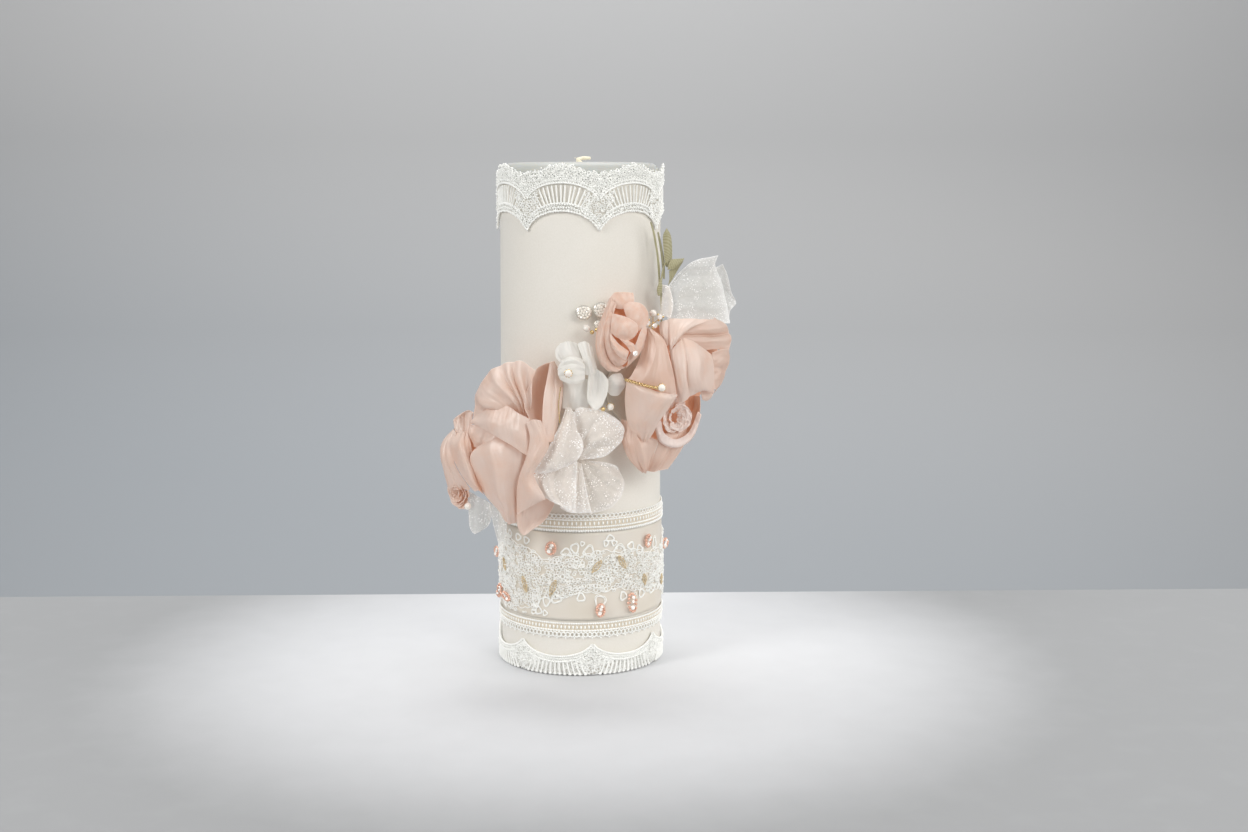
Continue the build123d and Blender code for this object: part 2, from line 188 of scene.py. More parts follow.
class Shader:
    """A material under construction."""

    def __init__(self, name):
        self.material = bpy.data.materials.new(name)
        self.material.use_nodes = True
        self.tree = self.material.node_tree
        self.tree.nodes.clear()
        self.kept = {}

    def node(self, kind, settings=None, inputs=None, output=0):
        """Adds a node, sets it, fills or links its inputs, and gives back one output."""
        made = self.tree.nodes.new(kind)
        for key, value in (settings or {}).items():
            setattr(made, key, value)
        for key, value in (inputs or {}).items():
            if isinstance(value, Link):
                self.tree.links.new(value.socket, made.inputs[key])
            elif value is not None:
                made.inputs[key].default_value = value
        return Link(self, made.outputs[output])

    def coords(self, kind="Object"):
        if kind not in self.kept:
            self.kept[kind] = self.node("ShaderNodeTexCoord", output=kind)
        return self.kept[kind]

    def axes(self, kind="Object"):
        """The three coordinates as separate values."""
        split = self.node("ShaderNodeSeparateXYZ", inputs={0: self.coords(kind)})
        return [Link(self, out) for out in split.socket.node.outputs]

    def noise(self, scale, detail=2.0, roughness=0.5):
        return self.node("ShaderNodeTexNoise", inputs={
            "Vector": self.coords(), "Scale": scale, "Detail": detail, "Roughness": roughness})

    def stretched_noise(self, stretch, scale, detail):
        """Noise on the flat cloth in mm, drawn out along one of its directions."""
        flat = self.node("ShaderNodeMapping", inputs={"Vector": self.coords("UV"), "Scale": stretch})
        return self.node("ShaderNodeTexNoise", inputs={
            "Vector": flat, "Scale": scale, "Detail": detail})

    def cells(self, scale, feature="F1", kind="Object"):
        return self.node("ShaderNodeTexVoronoi", {"feature": feature},
                         {"Vector": self.coords(kind), "Scale": scale})

    def attribute(self, name):
        return self.node("ShaderNodeAttribute", {"attribute_name": name}, output="Fac")

    def mix(self, factor, first, second):
        """Blends two colours."""
        first, second = [(*c, 1.0) if isinstance(c, tuple) and len(c) == 3 else c
                         for c in (first, second)]
        return self.node("ShaderNodeMix", {"data_type": "RGBA"},
                         {0: factor, 6: first, 7: second}, output=2)

    def bump(self, height, distance, strength=1.0):
        """distance is in mm."""
        return self.node("ShaderNodeBump", inputs={
            "Height": height, "Distance": distance * MM, "Strength": strength})

    def finish(self, colour, rough=0.5, normal=None, alpha=None, metallic=None, through=0.0,
               through_colour=None, painted_glow=None, **constants):
        """Closes the material. through is the share of light that a thin cloth lets pass, and
        painted_glow is a painted glow: an emission colour that lifts the shade of a piece as if light
        wandered inside it, though nothing there is a lamp."""
        inputs = {"Base Color": (*colour, 1.0) if isinstance(colour, tuple) else colour,
                  "Roughness": rough, "Normal": normal, "Alpha": alpha, "Metallic": metallic}
        if painted_glow:
            inputs.update({"Emission Color": (*painted_glow, 1.0) if isinstance(painted_glow, tuple) else painted_glow,
                           "Emission Strength": 1.0})
        inputs.update({key.replace("_", " "): value for key, value in constants.items()})
        surface = self.node("ShaderNodeBsdfPrincipled", inputs=inputs)
        if through:
            passed = self.node("ShaderNodeBsdfTranslucent", inputs={
                "Color": (*through_colour, 1.0), "Normal": normal})
            if alpha is not None:
                clear = self.node("ShaderNodeBsdfTransparent")
                passed = self.node("ShaderNodeMixShader", inputs={0: alpha, 1: clear, 2: passed})
            surface = self.node("ShaderNodeMixShader", inputs={0: through, 1: surface, 2: passed})
        out = self.tree.nodes.new("ShaderNodeOutputMaterial")
        self.tree.links.new(surface.socket, out.inputs["Surface"])
        return self.material


MATERIALS = {}
RIB_PITCH = 0.34       # mm between the fine ribs of ribbon satin
LEAF_RIB_PITCH = 0.9   # mm between the ribs of a leaf


def finish(name):
    """The named material, made on first use."""
    if name not in MATERIALS:
        MATERIALS[name] = FINISHES[name](name)
    return MATERIALS[name]


def plain_weave(shader, pitch):
    """The height of a plain weave, 0 to 1. pitch is the distance between threads in mm."""
    across, along, _ = shader.axes("UV")
    turns = TURN / pitch
    return (across * turns).sine() * (along * turns).sine() * 0.5 + 0.5


def satin(name, light, deep, rough=0.34, through=0.18):
    """Ribbon satin: long creases, fine slubs and ribs, deeper in cloudy patches, with a painted highlight
    along its edges and a painted warm glow in its shade.
    """
    s = Shader(name)
    _, lengthwise, _ = s.axes("UV")
    crease = s.stretched_noise((0.2, 0.045, 1.0), 1.0, 2.0)
    slub = s.stretched_noise((0.25, 4.0, 1.0), 1.4, 3.0)
    cloud = s.noise(90.0)
    ribs = (lengthwise * (TURN / RIB_PITCH)).sine() * 0.5 + 0.5
    tone = s.mix((cloud * 0.75 + slub * 0.35).ramp(0.4, 1.1), light, deep)
    # Painted highlight: the satin is lightened towards its edges, as if they caught the light.
    edge = s.attribute("rim").ramp(0.72, 0.97) * 0.55
    tone = s.mix(edge, tone, srgb(250, 236, 226))
    normal = s.bump(ribs * 0.012 + slub * 0.02 + crease, 1.3, 0.9)
    # The warm painted glow lifts the satin's shade towards orange, though nothing there is a lamp.
    return s.finish(tone, slub * 0.12 + (rough - 0.06), normal, through=through,
                    through_colour=srgb(248, 206, 174), painted_glow=dimmed(srgb(240, 160, 115), 0.08),
                    Sheen_Weight=0.12, Sheen_Roughness=0.35, Specular_IOR_Level=0.8,
                    Anisotropic=0.5)


def chiffon(name, light, deep):
    """Crinkled chiffon, with a painted highlight along its edges and a painted glow in its shade."""
    s = Shader(name)
    weave = plain_weave(s, 0.42)
    crinkle = s.noise(420.0, 3.0)
    tone = s.mix((crinkle * 0.7 + weave * 0.3).ramp(0.3, 0.8), light, deep)
    # Painted highlight: the chiffon is lightened towards its edges.
    tone = s.mix(s.attribute("rim").ramp(0.6, 0.97) * 0.7, tone, srgb(252, 236, 226))
    normal = s.bump(weave * 0.4 + crinkle * 0.6, 0.07)
    # A faint painted glow of the deep colour lifts the chiffon's shade.
    return s.finish(tone, crinkle * 0.2 + 0.6, normal, through=0.3, through_colour=light,
                    painted_glow=dimmed(deep, 0.06), Sheen_Weight=0.35, Sheen_Roughness=0.5)


def white_satin(name):
    """The blossom's soft white satin, with a fine crinkle."""
    s = Shader(name)
    crinkle = s.noise(260.0, 3.0)
    weave = plain_weave(s, 0.36)
    white = chosen("white")
    tone = s.mix((crinkle * 0.7 + weave * 0.3).ramp(0.3, 0.8), white, dimmed(white, 0.95))
    # A faint painted white glow lifts the satin's shade.
    return s.finish(tone, crinkle * 0.15 + 0.4, s.bump(crinkle + weave * 0.15, 0.2), through=0.3,
                    through_colour=white, painted_glow=dimmed(white, 0.05), Sheen_Weight=0.3,
                    Specular_IOR_Level=0.5)


def organza(name, light, cover, glitter):
    """A sheer woven ground with glitter flecks that glow as painted glints, white along its rims with
    glitter and a painted highlight. cover is how much of it is thread.
    """
    s = Shader(name)
    weave = plain_weave(s, 0.55)
    crinkle = s.noise(330.0, 4.0, roughness=0.65)
    rim = s.attribute("rim")
    flecks = 1 - s.cells(1150.0).ramp(0.2, 0.4)
    patch = (s.noise(220.0) + rim * 0.6).ramp(0.38, 0.6)
    flecks = flecks * patch * glitter
    alpha = (crinkle * 0.3 + weave * 0.2 + rim * 0.4 + (cover - 0.22)).larger(flecks)
    # White at the glitter flecks, and white towards the rims: glitter there, and a painted highlight
    # along the edges as well.
    tone = s.mix(flecks.larger(rim * 0.8), light, (1.0, 1.0, 1.0))
    normal = s.bump(crinkle * 0.6 + flecks * 0.9, 0.1)
    # The flecks glow as painted glints, and the rest of the cloth has a faint painted glow.
    return s.finish(tone, 0.62 - flecks * 0.4, normal, alpha=alpha, through=0.3,
                    through_colour=light, Sheen_Weight=0.3,
                    painted_glow=s.mix(flecks, dimmed(light, 0.1), (0.45, 0.45, 0.45)),
                    Specular_IOR_Level=0.7)


def crepe(name):
    """The ivory cloth round the pillar: a matt satin with a faint pebble."""
    s = Shader(name)
    pebble = s.noise(1500.0)
    cloud = s.noise(28.0)
    fine = plain_weave(s, 0.62)
    ivory = chosen("ivory")
    tone = s.mix((cloud * 0.35 + pebble * 0.3 + fine * 0.35).ramp(0.3, 0.75), ivory,
                 dimmed(ivory, 0.9, 0.89, 0.86))
    normal = s.bump(pebble * 0.5 + fine * 0.5, 0.06)
    return s.finish(tone, pebble * 0.15 + 0.5, normal, Sheen_Weight=0.12,
                    Specular_IOR_Level=0.35)


def lace_ground(name):
    """Thread net with holes. The 'cover' attribute says where the net is close."""
    s = Shader(name)
    holes = s.cells(0.92, "DISTANCE_TO_EDGE", "UV")
    cover = s.attribute("cover")
    thread = 1 - holes.ramp(0.1, 0.18)
    alpha = thread.larger((cover - 0.75).ramp(0.0, 0.2)) * cover.ramp(0.1, 0.4)
    fuzz = s.noise(1800.0)
    lace = chosen("lace")
    tone = s.mix(fuzz, lace, dimmed(lace, 0.93))
    normal = s.bump(thread * 0.8 + fuzz * 0.3, 0.25)
    # A faint painted glow lifts the shade among the threads.
    return s.finish(tone, 0.75, normal, alpha=alpha, painted_glow=dimmed(lace, 0.12), Sheen_Weight=0.2)


def thread_finish(name, colour, rough=0.68):
    """Twisted cotton: fuzz and a cloudy tone."""
    s = Shader(name)
    fuzz = s.noise(2600.0)
    cloud = s.noise(500.0)
    tone = s.mix((cloud * 0.8 + fuzz * 0.3).ramp(0.3, 0.8), colour, dimmed(colour, 0.9))
    # A faint painted glow lifts the thread's shade.
    return s.finish(tone, rough, s.bump(fuzz + cloud, 0.03), painted_glow=dimmed(colour, 0.12),
                    Sheen_Weight=0.25, Sheen_Roughness=0.4)


def tulle_finish(name):
    """The close net under the panel's motif."""
    s = Shader(name)
    net = plain_weave(s, 0.7)
    tulle = chosen("tulle")
    tone = s.mix(s.noise(60.0).ramp(0.3, 0.7), tulle, dimmed(tulle, 0.96, 0.94, 0.9))
    return s.finish(tone, 0.6, s.bump(net, 0.05), Sheen_Weight=0.2)


def wax_finish(name):
    """Poured wax, a little cloudy, with light wandering under its skin."""
    s = Shader(name)
    cloud = s.noise(45.0, 3.0)
    mottle = s.noise(300.0)
    wax = chosen("wax")
    tone = s.mix(cloud.ramp(0.3, 0.7), wax, dimmed(wax, 0.96, 0.95, 0.92))
    return s.finish(tone, mottle * 0.2 + 0.34, s.bump(cloud + mottle * 0.2, 0.12),
                    Subsurface_Weight=0.35, Subsurface_Radius=(0.004, 0.003, 0.002),
                    Subsurface_Scale=1.0)


def metal_finish(name, colour, rough, metal=1.0):
    """Plated metal or a metallic bead, slightly worn."""
    s = Shader(name)
    wear = s.noise(900.0)
    tone = s.mix(wear.ramp(0.3, 0.8), colour, dimmed(colour, 0.8))
    # A faint painted glow of the metal's own colour lifts its shade.
    return s.finish(tone, wear * 0.2 + (rough - 0.08), s.bump(wear, 0.02), metallic=metal,
                    painted_glow=dimmed(colour, 0.06))


def pearl_finish(name):
    """A pearl's cream and pink lustre under a clear coat."""
    s = Shader(name)
    lustre = s.noise(600.0)
    cream, pink = srgb(248, 245, 236), srgb(242, 230, 220)
    tone = s.mix(lustre.ramp(0.35, 0.65), cream, pink)
    return s.finish(tone, lustre * 0.08 + 0.2, Coat_Weight=0.7, Coat_Roughness=0.12,
                    Subsurface_Weight=0.1, Subsurface_Radius=(0.001, 0.001, 0.001))


def stone_finish(name, colour, rough=0.06):
    """Cut glass as it reads when it is small: bright facets beside dark ones, painted on as reflections,
    with a painted glow.
    """
    s = Shader(name)
    glint = s.cells(1700.0)
    # Painted reflections: bright and darker patches stand in for the glints of the facets.
    tone = s.mix(glint.ramp(0.3, 0.65), colour, dimmed(colour, 0.72))
    return s.finish(tone, glint * 0.05 + rough, metallic=0.1, painted_glow=dimmed(colour, 0.24),
                    Coat_Weight=1.0, Coat_Roughness=0.02)


def leaf_finish(name):
    """Ribbed sage cloth."""
    s = Shader(name)
    _, lengthwise, _ = s.axes("UV")
    ribs = (lengthwise * (TURN / LEAF_RIB_PITCH)).sine() * 0.5 + 0.5
    cloud = s.noise(260.0)
    leaf = chosen("leaf")
    tone = s.mix((cloud * 0.6 + ribs * 0.4).ramp(0.25, 0.8), leaf, dimmed(leaf, 0.72, 0.72, 0.6))
    return s.finish(tone, 0.6, s.bump(ribs * 0.7 + cloud * 0.4, 0.1), Sheen_Weight=0.15)


def felt_finish(name):
    """Matt, fuzzy felt."""
    s = Shader(name)
    fuzz = s.noise(1300.0, 4.0)
    felt = chosen("felt")
    tone = s.mix(fuzz, felt, dimmed(felt, 0.85))
    return s.finish(tone, 0.9, s.bump(fuzz, 0.25), Sheen_Weight=0.4)


FINISHES = {
    "blush_satin": lambda n: satin(n, chosen("blush"), chosen("deep_blush")),
    # Painted shade: a darker copy of the blush satin, for sheets laid behind the roses so the gaps
    # between petals read as shade.
    "blush_shade": lambda n: satin(n, srgb(222, 172, 142), srgb(214, 158, 126), 0.5, 0.05),
    # Painted shade: a deep copy of the blush satin, for the dark sheet inside the rosebud.
    "blush_deep": lambda n: satin(n, srgb(222, 152, 114), srgb(212, 138, 98), 0.5, 0.05),
    # Painted shadow: a darker copy of the blush satin, for the petal in the rosebud's shadow.
    "blush_warm": lambda n: satin(n, srgb(212, 190, 175), srgb(206, 166, 142)),
    # Painted shade: a dimmer copy of the blush satin, for petals that sit back in shade.
    "blush_dim": lambda n: satin(n, srgb(216, 200, 188), srgb(210, 172, 150)),
    "blush_pale": lambda n: satin(n, srgb(230, 224, 219), srgb(226, 200, 184)),
    "blush_chiffon": lambda n: chiffon(n, chosen("chiffon"), srgb(232, 192, 168)),
    "white_satin": white_satin,
    "glitter_organza": lambda n: organza(n, chosen("organza"), 0.8, 1.0),
    "sheer_organza": lambda n: organza(n, chosen("organza"), 0.42, 0.8),
    "bow_organza": lambda n: organza(n, srgb(224, 223, 219), 0.46, 0.7),
    "ivory_crepe_satin": crepe,
    "lace_ground": lace_ground,
    "guipure_lace": lambda n: thread_finish(n, chosen("lace")),
    "lace_cord": lambda n: thread_finish(n, chosen("lace"), 0.5),
    "panel_tulle": tulle_finish,
    "braid_tape": lambda n: thread_finish(n, srgb(213, 202, 185), 0.8),
    "panel_beads": lambda n: thread_finish(n, srgb(240, 238, 233), 0.3),
    "wax": wax_finish,
    "wick_cotton": lambda n: thread_finish(n, chosen("cotton"), 0.85),
    "sustainer_tin": lambda n: metal_finish(n, srgb(190, 190, 188), 0.35),
    "clear_tape": lambda n: thread_finish(n, srgb(228, 226, 216), 0.3),
    "rose_gold_sequin": lambda n: metal_finish(n, chosen("rose_gold"), 0.28, 0.6),
    "khaki_bead": lambda n: metal_finish(n, chosen("khaki"), 0.3, 0.4),
    "gold_bead": lambda n: metal_finish(n, chosen("gold"), 0.22),
    "silver_setting": lambda n: metal_finish(n, srgb(226, 221, 210), 0.25, 0.6),
    "pearl": pearl_finish,
    "crystal": lambda n: stone_finish(n, srgb(252, 248, 242)),
    "pave_stone": lambda n: stone_finish(n, srgb(244, 238, 228), 0.1),
    "leaf_fabric": leaf_finish,
    "felt": felt_finish,
}


# ------------------------------------------------------------------------------ geometry
def around(facing, z, radius):
    """The point at a facing angle and height, radius from the candle's axis."""
    angle = math.radians(facing)
    return Vector((radius * math.sin(angle), -radius * math.cos(angle), z))


def facing_matrix(centre, facing, roll=0.0, tilt=0.0):
    """Axes at centre: X across, Y upward and Z out along the facing angle, tipped up by tilt."""
    turn = Matrix.Rotation(math.radians(facing), 4, "Z")
    stand = Matrix.Rotation(math.radians(90 - tilt), 4, "X")
    spin = Matrix.Rotation(math.radians(roll), 4, "Z")
    return Matrix.Translation(centre) @ turn @ stand @ spin


def along(points, t):
    """The point at t, from 0 to 1, on a smooth curve through the points."""
    if len(points) == 1:
        return points[0].copy()
    last = len(points) - 1
    place = min(max(t, 0.0), 1.0) * last
    i = min(int(place), last - 1)
    f = place - i
    b, c = points[i], points[i + 1]
    a = points[i - 1] if i else 2 * b - c
    d = points[i + 2] if i + 2 <= last else 2 * c - b
    return 0.5 * (2 * b + f * (c - a) + f * f * (2 * a - 5 * b + 4 * c - d)
                  + f * f * f * (3 * b - a - 3 * c + d))


def keep_off(point):
    """Moves a point out of the candle and its trims."""
    reach = math.hypot(point.x, point.y)
    if reach >= SPRAY_RADIUS or reach == 0:
        return point
    return Vector((point.x * SPRAY_RADIUS / reach, point.y * SPRAY_RADIUS / reach, point.z))


def ride(obj, finish_name, nodes=()):
    """Gives a finished object its material and body, and hides the frame nodes it stands for."""
    obj.data.materials.append(finish(finish_name))
    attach(obj, "root")
    if nodes:
        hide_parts(*nodes)
    return obj


def mesh_object(name, bm, smooth=True):
    """Puts a finished bmesh in the scene and frees it."""
    mesh = bpy.data.meshes.new(name)
    for face in bm.faces:
        face.smooth = smooth
    bm.to_mesh(mesh)
    bm.free()
    obj = bpy.data.objects.new(name, mesh)
    bpy.context.scene.collection.objects.link(obj)
    return obj


def grid_mesh(cells_u, cells_v, place, cut=(1.0, 1.0), loop=False):
    """A grid whose corner at (u, v) is moved to place(u, v). Its UV map is in mm of flat cloth."""
    bm = bmesh.new()
    bmesh.ops.create_grid(bm, x_segments=cells_u, y_segments=cells_v, size=0.5)
    uv = bm.loops.layers.uv.new("UVMap")
    # rim is 1 at the sides and far end of a piece and 0 within; the cloth finishes paint a highlight
    # along the edges with it, and organza also gathers its glitter there.
    rim = bm.verts.layers.float.new("rim")
    for vert in bm.verts:
        vert[rim] = max(abs(2 * vert.co.x), vert.co.y + 0.5) ** 10
    for face in bm.faces:
        for corner in face.loops:
            co = corner.vert.co
            corner[uv].uv = ((co.x + 0.5) * cut[0], (co.y + 0.5) * cut[1])
    for vert in bm.verts:
        vert.co = place(vert.co.x + 0.5, vert.co.y + 0.5)
    if loop:
        bmesh.ops.remove_doubles(bm, verts=bm.verts, dist=0.001 * MM)
    return bm


def thicken(obj, thickness, levels=1):
    """Gives a sheet its wall, half to each side, and smooths it."""
    wall = obj.modifiers.new("Thickness", "SOLIDIFY")
    wall.thickness = thickness * MM
    wall.offset = 0.0
    if levels:
        smooth = obj.modifiers.new("Smooth", "SUBSURF")
        smooth.levels = smooth.render_levels = levels


def cloth_mesh(rows, pleats, cells, wrinkle, seed, bulge):
    """A cloth grid through rows of points, and the flat width and length it was cut to."""
    rows = [[Vector(p) for p in row] for row in rows]
    steps = [i / cells for i in range(cells + 1)]
    columns = [[along(row, u) for row in rows] for u in steps]
    net = [[along(column, v) for v in steps] for column in columns]
    mid = cells // 2
    lengthwise = net[mid][min(mid + 3, cells)] - net[mid][mid - 3]
    crosswise = net[min(mid + 3, cells)][mid] - net[mid - 3][mid]
    middle = net[mid][mid]
    out = crosswise.cross(lengthwise)
    side = 1 if out.dot(Vector((middle.x, middle.y, 0))) > 0 else -1

    def normal(i, j):
        across = net[min(i + 1, cells)][j] - net[max(i - 1, 0)][j]
        down = net[i][min(j + 1, cells)] - net[i][max(j - 1, 0)]
        n = across.cross(down)
        return n.normalized() * side if n.length > 1e-6 else Vector((0, -1, 0))

    def place(u, v):
        i, j = round(u * cells), round(v * cells)
        lift = bulge * math.sin(math.pi * u) * math.sin(math.pi * v)
        for where, width, height in pleats:
            lift += (1.5 * height * math.exp(-abs((u - where) / width) ** 1.2)
                     * min(1.0, 0.25 + 1.2 * v) * (1 - 0.7 * v ** 5))
        lift += wrinkle * (noise.noise(Vector((u * 5, v * 1.6, seed * 7.3)))
                           + 0.4 * noise.noise(Vector((u * 14, v * 4, seed * 3.1)))
                           - 1.4 * abs(noise.noise(Vector((u * 6 + v, v * 1.8, seed * 5.1)))))
        return keep_off(net[i][j] + normal(i, j) * lift) * MM

    width = sum((net[i + 1][mid] - net[i][mid]).length for i in range(cells))
    length = sum((net[mid][j + 1] - net[mid][j]).length for j in range(cells))
    return grid_mesh(cells, cells, place, (width, length)), width, length


def petal(name, *shapes, cloth="blush_satin", pleats=(), cells=None, wrinkle=0.25, seed=1,
          nodes=(), thickness=None, held="gathered", bulge=0.0, cut=None):
    """A piece of cloth, or several cut from one sheet. Each shape is rows of points, and each
    row runs across the piece. cut is the flat sheet's width and length, if not the pieces' own.

    pleats are (where across, from 0 to 1; half width, from 0 to 1; height in mm). bulge lifts
    the middle, in mm towards the front. Without nodes it stands for the node of its name."""
    cells = cells or sizes().petal_cells
    bm = bmesh.new()
    bm.loops.layers.uv.new("UVMap")
    bm.verts.layers.float.new("rim")
    widths, lengths = [], []
    for rows in shapes:
        part, width, length = cloth_mesh(rows, pleats, cells, wrinkle, seed, bulge)
        mesh = bpy.data.meshes.new("part")
        part.to_mesh(mesh)
        part.free()
        bm.from_mesh(mesh)
        bpy.data.meshes.remove(mesh)
        widths.append(width)
        lengths.append(length)
    bmesh.ops.recalc_face_normals(bm, faces=bm.faces)
    obj = mesh_object(name + "_cloth", bm)
    sheer = "organza" in cloth
    thicken(obj, thickness or (sizes().sheer if sheer else sizes().satin))
    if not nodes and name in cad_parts:
        nodes = (name,)
    ride(obj, cloth, nodes)
    cut_from_sheet(obj, *(cut or (sum(widths), max(lengths))), held, "felt_discs")
    return obj


def cut_from_sheet(obj, width, length, held, rests_on):
    """Works out the flat sheet, in mm, that a cloth piece was cut from and the share of it the piece
    covers, but keeps nothing.
    """
    width, length = max(LEAST_CUT, width), max(LEAST_CUT, length)
    area = sum(face.area for face in obj.data.polygons) / MM / MM
    share = min(0.999, max(0.305, area / width / length))
    width * MM
    length * MM
    width * length * share * MM * MM


def cords(name, runs, radius, finish_name="guipure_lace", nodes=(), sides=1, closed=False):
    """Round threads through runs of points."""
    curve = bpy.data.curves.new(name, "CURVE")
    curve.dimensions = "3D"
    curve.bevel_depth = radius * MM
    curve.bevel_resolution = sides
    curve.use_fill_caps = True
    for run in runs:
        spline = curve.splines.new("POLY")
        spline.points.add(len(run) - 1)
        for point, place in zip(spline.points, run):
            point.co = (*(place * MM), 1.0)
        spline.use_cyclic_u = closed
    obj = bpy.data.objects.new(name, curve)
    bpy.context.scene.collection.objects.link(obj)
    return ride(obj, finish_name, nodes)


def smooth_run(points, steps):
    """Points along a smooth curve, evenly spaced between the ones given."""
    points = [Vector(p) for p in points]
    return [along(points, i / steps) for i in range(steps + 1)]


def scatter(name, pattern, places, finish_name, nodes=(), smooth=True):
    """Copies a small pattern mesh to each of the places, which are matrices in mm."""
    mesh = bpy.data.meshes.new(name + "_pattern")
    pattern.to_mesh(mesh)
    home = [v.co.copy() for v in mesh.vertices]
    pattern.free()
    bm = bmesh.new()
    for matrix in places:
        for vert, co in zip(mesh.vertices, home):
            vert.co = matrix @ co * MM
        bm.from_mesh(mesh)
    bpy.data.meshes.remove(mesh)
    return ride(mesh_object(name, bm, smooth), finish_name, nodes)


def bead_pattern(sides, rings):
    """A round bead of radius 1."""
    bm = bmesh.new()
    bmesh.ops.create_uvsphere(bm, u_segments=sides, v_segments=rings, radius=1.0)
    return bm


def eye_pattern(thread):
    """A small closed loop, of radius 1 in the XY plane, of a thread of the radius given."""
    bm = bmesh.new()
    bmesh.ops.create_circle(bm, segments=4, radius=thread,
                            matrix=Matrix.Translation((1, 0, 0)) @ Matrix.Rotation(math.pi / 2, 4, "X"))
    bmesh.ops.spin(bm, geom=bm.verts[:] + bm.edges[:], cent=(0, 0, 0), axis=(0, 0, 1),
                   angle=TURN, steps=8, use_merge=True)
    bmesh.ops.remove_doubles(bm, verts=bm.verts, dist=0.001)
    bmesh.ops.recalc_face_normals(bm, faces=bm.faces)
    return bm


def gem_pattern():
    """A brilliant cut: a flat table, a crown, and a pointed back. Its width is 2."""
    bm = bmesh.new()
    bmesh.ops.create_cone(bm, cap_ends=True, segments=8, radius1=1.0, radius2=0.6, depth=0.45,
                          matrix=Matrix.Translation((0, 0, 0.3)))
    back = [f for f in bm.faces if f.calc_center_median().z < 0.1 and len(f.verts) == 8]
    made = bmesh.ops.extrude_discrete_faces(bm, faces=back)
    tip = [v for f in made["faces"] for v in f.verts]
    for vert in tip:
        vert.co = Vector((vert.co.x * 0.12, vert.co.y * 0.12, -0.6))
    bmesh.ops.recalc_face_normals(bm, faces=bm.faces)
    return bm


def scaled(matrix, x, y=None, z=None):
    """The matrix with its axes lengthened, all by x where that is the only length."""
    return matrix @ Matrix.Diagonal((x, y or x, z or x, 1.0))


# ------------------------------------------------------------------------------ the stage
def area_light(name, place, target, size, power, colour=(1, 1, 1)):
    """A round soft light that faces its target. Places and size are in metres."""
    data = bpy.data.lights.new(name, "AREA")
    data.shape = "DISK"
    data.size = size
    data.energy = power
    data.color = colour
    lamp = bpy.data.objects.new(name, data)
    lamp.location = place
    lamp.rotation_euler = (Vector(target) - Vector(place)).to_track_quat("-Z", "Y").to_euler()
    bpy.context.scene.collection.objects.link(lamp)


def stage_finish(name, near, far, scale, painted_falloff):
    """Cloth or paper whose colour goes from near to far as painted_falloff(x, y, z) goes from 0 to 1, a
    painted fall of light across it.
    """
    s = Shader(name)
    linen = s.noise(scale, 3.0)
    tone = s.mix(painted_falloff(*s.axes()) + (linen - 0.5) * 0.12, near, far)
    s.finish(tone, 0.85, s.bump(linen, 0.15))
    return s.material


class CANDLE_OT_stage(Operator):
    """Set the pale table, the grey backdrop, the soft lights and the camera"""
    bl_idname = "candle.stage"
    bl_label = "Stage"

    def execute(self, context):
        bm = bmesh.new()
        bmesh.ops.create_cube(bm, size=1.0, matrix=Matrix.Translation((0, -0.645, -0.02))
                              @ Matrix.Diagonal((2.4, 1.5, 0.04, 1)))
        bmesh.ops.bevel(bm, geom=bm.edges[:], offset=0.003, affect="EDGES", segments=3,
                        profile=0.5, material=-1)
        table = mesh_object("table_top", bm)
        # The table is painted darker away from the candle: a painted falloff of light.
        table.data.materials.append(stage_finish(
            "table_linen", srgb(219, 220, 222), srgb(158, 159, 160), 60.0,
            lambda x, y, z: (x * x + y * y).ramp(0.0015, 0.05)))
        bm = bmesh.new()
        bmesh.ops.create_grid(bm, x_segments=1, y_segments=24, size=1.0)
        for vert in bm.verts:
            v = (vert.co.y + 1) / 2
            climb = max(0.0, v - 0.6) / 0.4
            vert.co = Vector((vert.co.x * 5, -3 + 4.6 * min(1.0, v / 0.75),
                              -0.45 + 3.2 * climb ** 2))
        back = mesh_object("backdrop", bm)
        # The backdrop is painted darker and a little bluer towards its bottom and its left: painted
        # shade.
        back.data.materials.append(stage_finish(
            "grey_paper", srgb(156, 160, 164), srgb(176, 176, 176), 2.0,
            lambda x, y, z: (z + x * 0.18).ramp(-0.32, 0.3)))

        middle = (0, 0, 0.12)
        area_light("key_light", (0.6, -0.95, 0.65), middle, 0.55, 4.5, (1.0, 0.99, 0.975))
        area_light("left_key", (-0.8, -0.62, 0.62), middle, 0.4, 5.4, (1.0, 0.995, 0.985))
        area_light("right_fill", (0.95, -0.25, 0.4), middle, 0.8, 3.6, (1.0, 0.985, 0.96))
        area_light("backdrop_light", (0.0, 0.6, 1.6), (0, 1.5, 0.7), 1.5, 30.0)
        world = bpy.data.worlds.new("studio")
        world.use_nodes = True
        world.node_tree.nodes["Background"].inputs[0].default_value = (0.97, 0.98, 1.0, 1)
        world.node_tree.nodes["Background"].inputs[1].default_value = 0.42
        context.scene.world = world
        context.scene.view_settings.view_transform = "Standard"

        camera_data = bpy.data.cameras.new("camera")
        camera_data.lens = sizes().lens
        camera_data.sensor_width = 36.0
        camera_data.shift_y = -0.097
        camera = bpy.data.objects.new("camera", camera_data)
        camera.location = (0.0014, -0.690, 0.2073)
        pitch, pan = math.radians(3.8), math.radians(1.489)
        look = Vector((math.sin(pan) * math.cos(pitch), math.cos(pan) * math.cos(pitch),
                       -math.sin(pitch)))
        camera.rotation_euler = look.to_track_quat("-Z", "Y").to_euler()
        context.scene.collection.objects.link(camera)
        context.scene.camera = camera
        return {"FINISHED"}


